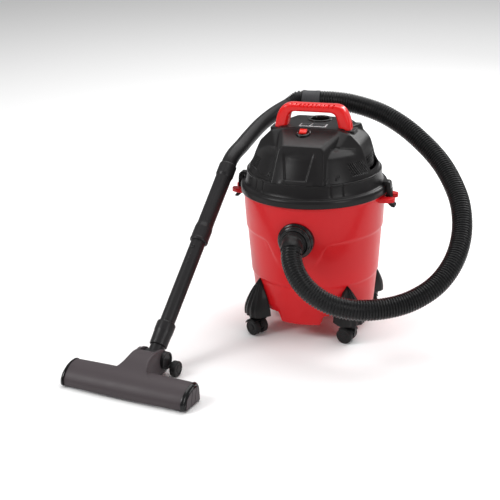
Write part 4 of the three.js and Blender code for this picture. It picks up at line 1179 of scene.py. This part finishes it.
def nozzle_section(x):
    """The shell's section at a place along its width."""
    out = []
    for body, seat, slot in zip(body_points, seat_points, slot_points):
        reach = smooth_step((-seat.x - 0.030) / 0.075)
        half = SEAT_HALF + 0.026 * reach ** 2
        flare = 0.004 + 0.040 * reach ** 2
        raised = smooth_step((half + flare - abs(x)) / (2 * flare)) ** (1 + 0.8 * reach)
        point = body.lerp(slot if abs(x) < SLOT_HALF else seat, raised)
        crown = 0.0016 * (1 - (x / NOZZLE_HALF) ** 2) * smooth_step((point.y + 0.03) / 0.03)
        sweep = 0.004 * (x / NOZZLE_HALF) ** 2 * smooth_step((-0.09 - point.x) / 0.05)
        out.append(Vector((x, point.x + sweep, point.y + crown - 0.0016)))
    return out


nozzle_columns = spread(-NOZZLE_HALF, -0.090, 0.003) + spread(-0.090, -SLOT_HALF - 0.0002, 0.0014)
nozzle_columns += [-SLOT_HALF - 0.0001] + spread(-SLOT_HALF + 0.0002, SLOT_HALF - 0.0002,
                                                 0.003) + [SLOT_HALF - 0.0001, SLOT_HALF + 0.0002]
nozzle_columns += spread(SLOT_HALF + 0.0015, 0.090, 0.0014) + spread(0.090, NOZZLE_HALF + 0.003, 0.003)


def make_nozzle_shell():
    bm = bmesh.new()
    return skinned(bm, [[bm.verts.new(p) for p in nozzle_section(x)] for x in nozzle_columns])


nozzle_grey = moulded("nozzle_grey", (0.060, 0.049, 0.053), 0.42, grain=1300, relief=0.16, mottle=0.05)
finished("nozzle_cover", make_nozzle_shell(), nozzle_grey, "nozzle", "nozzle_grey", "nozzle_shell",
         crease=55, place=AT_NOZZLE)


CAP_MIDDLE, CAP_FLOOR = -0.104, -0.034
CAP_STEPS = ((0.1493, 1.0), (0.1510, 1.003), (0.1535, 0.985), (0.1555, 0.945), (0.1565, 0.905),
             (0.1556, 0.880), (0.1556, 0.840), (0.1580, 0.800), (0.1580, 0.02))
PANEL_STRIPS = ((-0.1340, -0.1145), (-0.1128, -0.0975), (-0.0958, -0.0745))
PANEL_SCALE, PANEL_HALF, STRIP_LEAN = 0.78, 0.0012, 0.010


def shrunk(p, scale):
    """A point of the shell's outline drawn in towards the middle of the cap."""
    return CAP_MIDDLE + (p.x - CAP_MIDDLE) * scale, CAP_FLOOR + (p.y - CAP_FLOOR) * scale


def make_end_cap(side):
    """The cap shrinks outwards in small steps, with a groove round its face."""
    bm = bmesh.new()
    rings = []
    for x, scale in CAP_STEPS:
        outline = [shrunk(p, scale) for p in body_points[::2]]
        rings.append([bm.verts.new((side * x, y, max(-0.036, z))) for y, z in outline])
    return skinned(bm, rings)


def make_end_panel(side):
    """Three grey strips with dark gaps between them, inside the cap's rim."""
    outline = [shrunk(p, PANEL_SCALE) for p in body_points[::3]]
    bm = bmesh.new()
    for low, high in PANEL_STRIPS:
        strip = slab(outline, -PANEL_HALF, PANEL_HALF)
        for cut, keep in ((low, 1), (high, -1)):
            bmesh.ops.bisect_plane(strip, geom=[*strip.verts, *strip.edges, *strip.faces],
                                   plane_co=(cut, 0, CAP_FLOOR), clear_outer=True,
                                   plane_no=(-keep, 0, -keep * STRIP_LEAN / CAP_FLOOR))
            bmesh.ops.holes_fill(strip, edges=[e for e in strip.edges if e.is_boundary], sides=0)
        added(bm, strip)
    bm.transform(shift(side * 0.1580, 0, 0) @ swing(pi / 2, "Z"))
    return outward(bm)


for side_name, side in (("left", -1), ("right", 1)):
    finished("end_cap_" + side_name, make_end_cap(side), gloss_black, "nozzle", "black_shell",
             "nozzle_end_cap_" + side_name, crease=40, place=AT_NOZZLE)
    finished("end_panel_" + side_name, make_end_panel(side), nozzle_grey, "nozzle", "nozzle_grey",
             place=AT_NOZZLE)


# ---- Brushes and nozzle wheels -------------------------------------------------------------------
# Two strips of black nylon bristle, each two rows of tufts, hang below the sole. Two rubber tyred wheels
# run on the steel axle behind the elbow.
TUFTS, BRUSH_HALF, TUFT_SIDES = 92, 0.1365, 6
TUFT_TOP, TUFT_TIP = -0.0389, -0.0400


def make_brush(y):
    bm = bmesh.new()
    for i in range(TUFTS):
        x = -BRUSH_HALF + 2 * BRUSH_HALF * i / (TUFTS - 1)
        for row, across in enumerate((-0.0014, 0.0014)):
            lean = 0.0003 * sin(i * 2.4 + row * 1.7)
            turns = [2 * pi * k / TUFT_SIDES for k in range(TUFT_SIDES)]
            points = [(x + 0.0013 * cos(t), y + across + 0.0012 * sin(t)) for t in turns]
            top = [bm.verts.new((px, py, TUFT_TOP)) for px, py in points]
            tip = [bm.verts.new((px + lean, py + lean, TUFT_TIP)) for px, py in points]
            skinned(bm, [top, tip])
    return bm


bristle_black = moulded("bristle_black", (0.010, 0.010, 0.010), 0.7, grain=2400, relief=0.3)
for brush_name, y in (("brush_front", -0.132), ("brush_rear", -0.076)):
    finished(brush_name + "_tufts", make_brush(y), bristle_black, "nozzle", "bristle", brush_name,
             place=AT_NOZZLE)

nozzle_wheel_profile = rounded([
    (0.0033, -0.0070), (0.0075, -0.0070, 0.0006), (0.0080, -0.0080, 0.0006), (0.0155, -0.0080, 0.001),
    (0.0180, -0.0062, 0.0025), (0.0180, 0.0062, 0.0025), (0.0155, 0.0080, 0.001),
    (0.0125, 0.0080, 0.0008), (0.0118, 0.0068, 0.0008), (0.0085, 0.0068, 0.0008),
    (0.0078, 0.0080, 0.0006), (0.0, 0.0080), (0.0, 0.0074), (0.0033, 0.0074),
])
for side_name, side in (("left", -1), ("right", 1)):
    wheel = turned(nozzle_wheel_profile, 56)
    wheel.transform(shift(side * 0.050, 0.012, -0.022) @ swing(side * pi / 2, "Y"))
    finished("roller_" + side_name, wheel, wheel_grey, "nozzle_" + side_name + "_wheel", "wheel_rubber",
             "nozzle_wheel_" + side_name, place=AT_NOZZLE)


# ---- Working parts -------------------------------------------------------------------------------
# What the head hides keeps its plain shape: a steel fan in its housing, the motor with its copper rotor
# and ball bearings, a foam sleeve on a plastic float cage, a red float, seals, pins and the steel sole.
def metal(name, colour, roughness, scale=220, stretch=1.0):
    """Bare metal with fine turning or rolling marks and uneven polish."""
    finish = Finish(name, Metallic=1.0)
    marks = finish.node("TexNoise", Vector=finish.node("Mapping", Vector=finish.place(),
                                                       Scale=(1, 1, stretch)), Scale=scale, Detail=4.0)
    finish.wear("Base Color", finish.mixed(marks, [c * 0.86 for c in colour], colour))
    finish.wear("Roughness", marks * 0.22 + (roughness - 0.11))
    finish.bumped(marks, 0.10, 0.0002)
    return finish.material


def porous(name, colour):
    """Open cell foam: a mesh of small pits, each darkened with painted shade."""
    finish = Finish(name, Roughness=0.95, Specular_IOR_Level=0.2)
    pit_depth_and_shade = finish.node("TexVoronoi", Vector=finish.place(), Scale=620.0)
    # The darker colour in each pit is painted shade; the same pattern also sinks the pit in the bump.
    finish.wear("Base Color", finish.mixed(pit_depth_and_shade, [c * 0.35 for c in colour], [c * 1.3 for c in colour]))
    finish.bumped(pit_depth_and_shade, 0.8, 0.0009)
    return finish.material


seal_rubber = moulded("seal_rubber", (0.014, 0.014, 0.014), 0.72, grain=900, relief=0.2)
steel = metal("steel", (0.56, 0.57, 0.58), 0.30, stretch=9.0)
cast_metal = metal("cast_metal", (0.50, 0.51, 0.52), 0.42, scale=520)
copper = metal("copper", (0.72, 0.30, 0.14), 0.36, scale=900, stretch=0.1)
foam = porous("foam", (0.040, 0.046, 0.055))
float_red = moulded("float_red", (0.56, 0.010, 0.012), 0.40)
CAD_FINISHES = {
    "tank_gasket": seal_rubber, "latch_pin_left": steel, "latch_pin_right": steel, "fan_housing": cast_metal,
    "fan": cast_metal, "motor_casing": satin_black, "stator": steel, "rotor": copper, "bearing_lower": steel,
    "bearing_upper": steel, "float_cage": satin_black, "float_valve": float_red, "foam_filter": foam,
    "filter_ring": satin_black, "nozzle_sole": steel, "nozzle_axle": steel,
}
for node, material in CAD_FINISHES.items():
    for slot in bpy.data.objects[node].material_slots:
        slot.material = material

low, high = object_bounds()
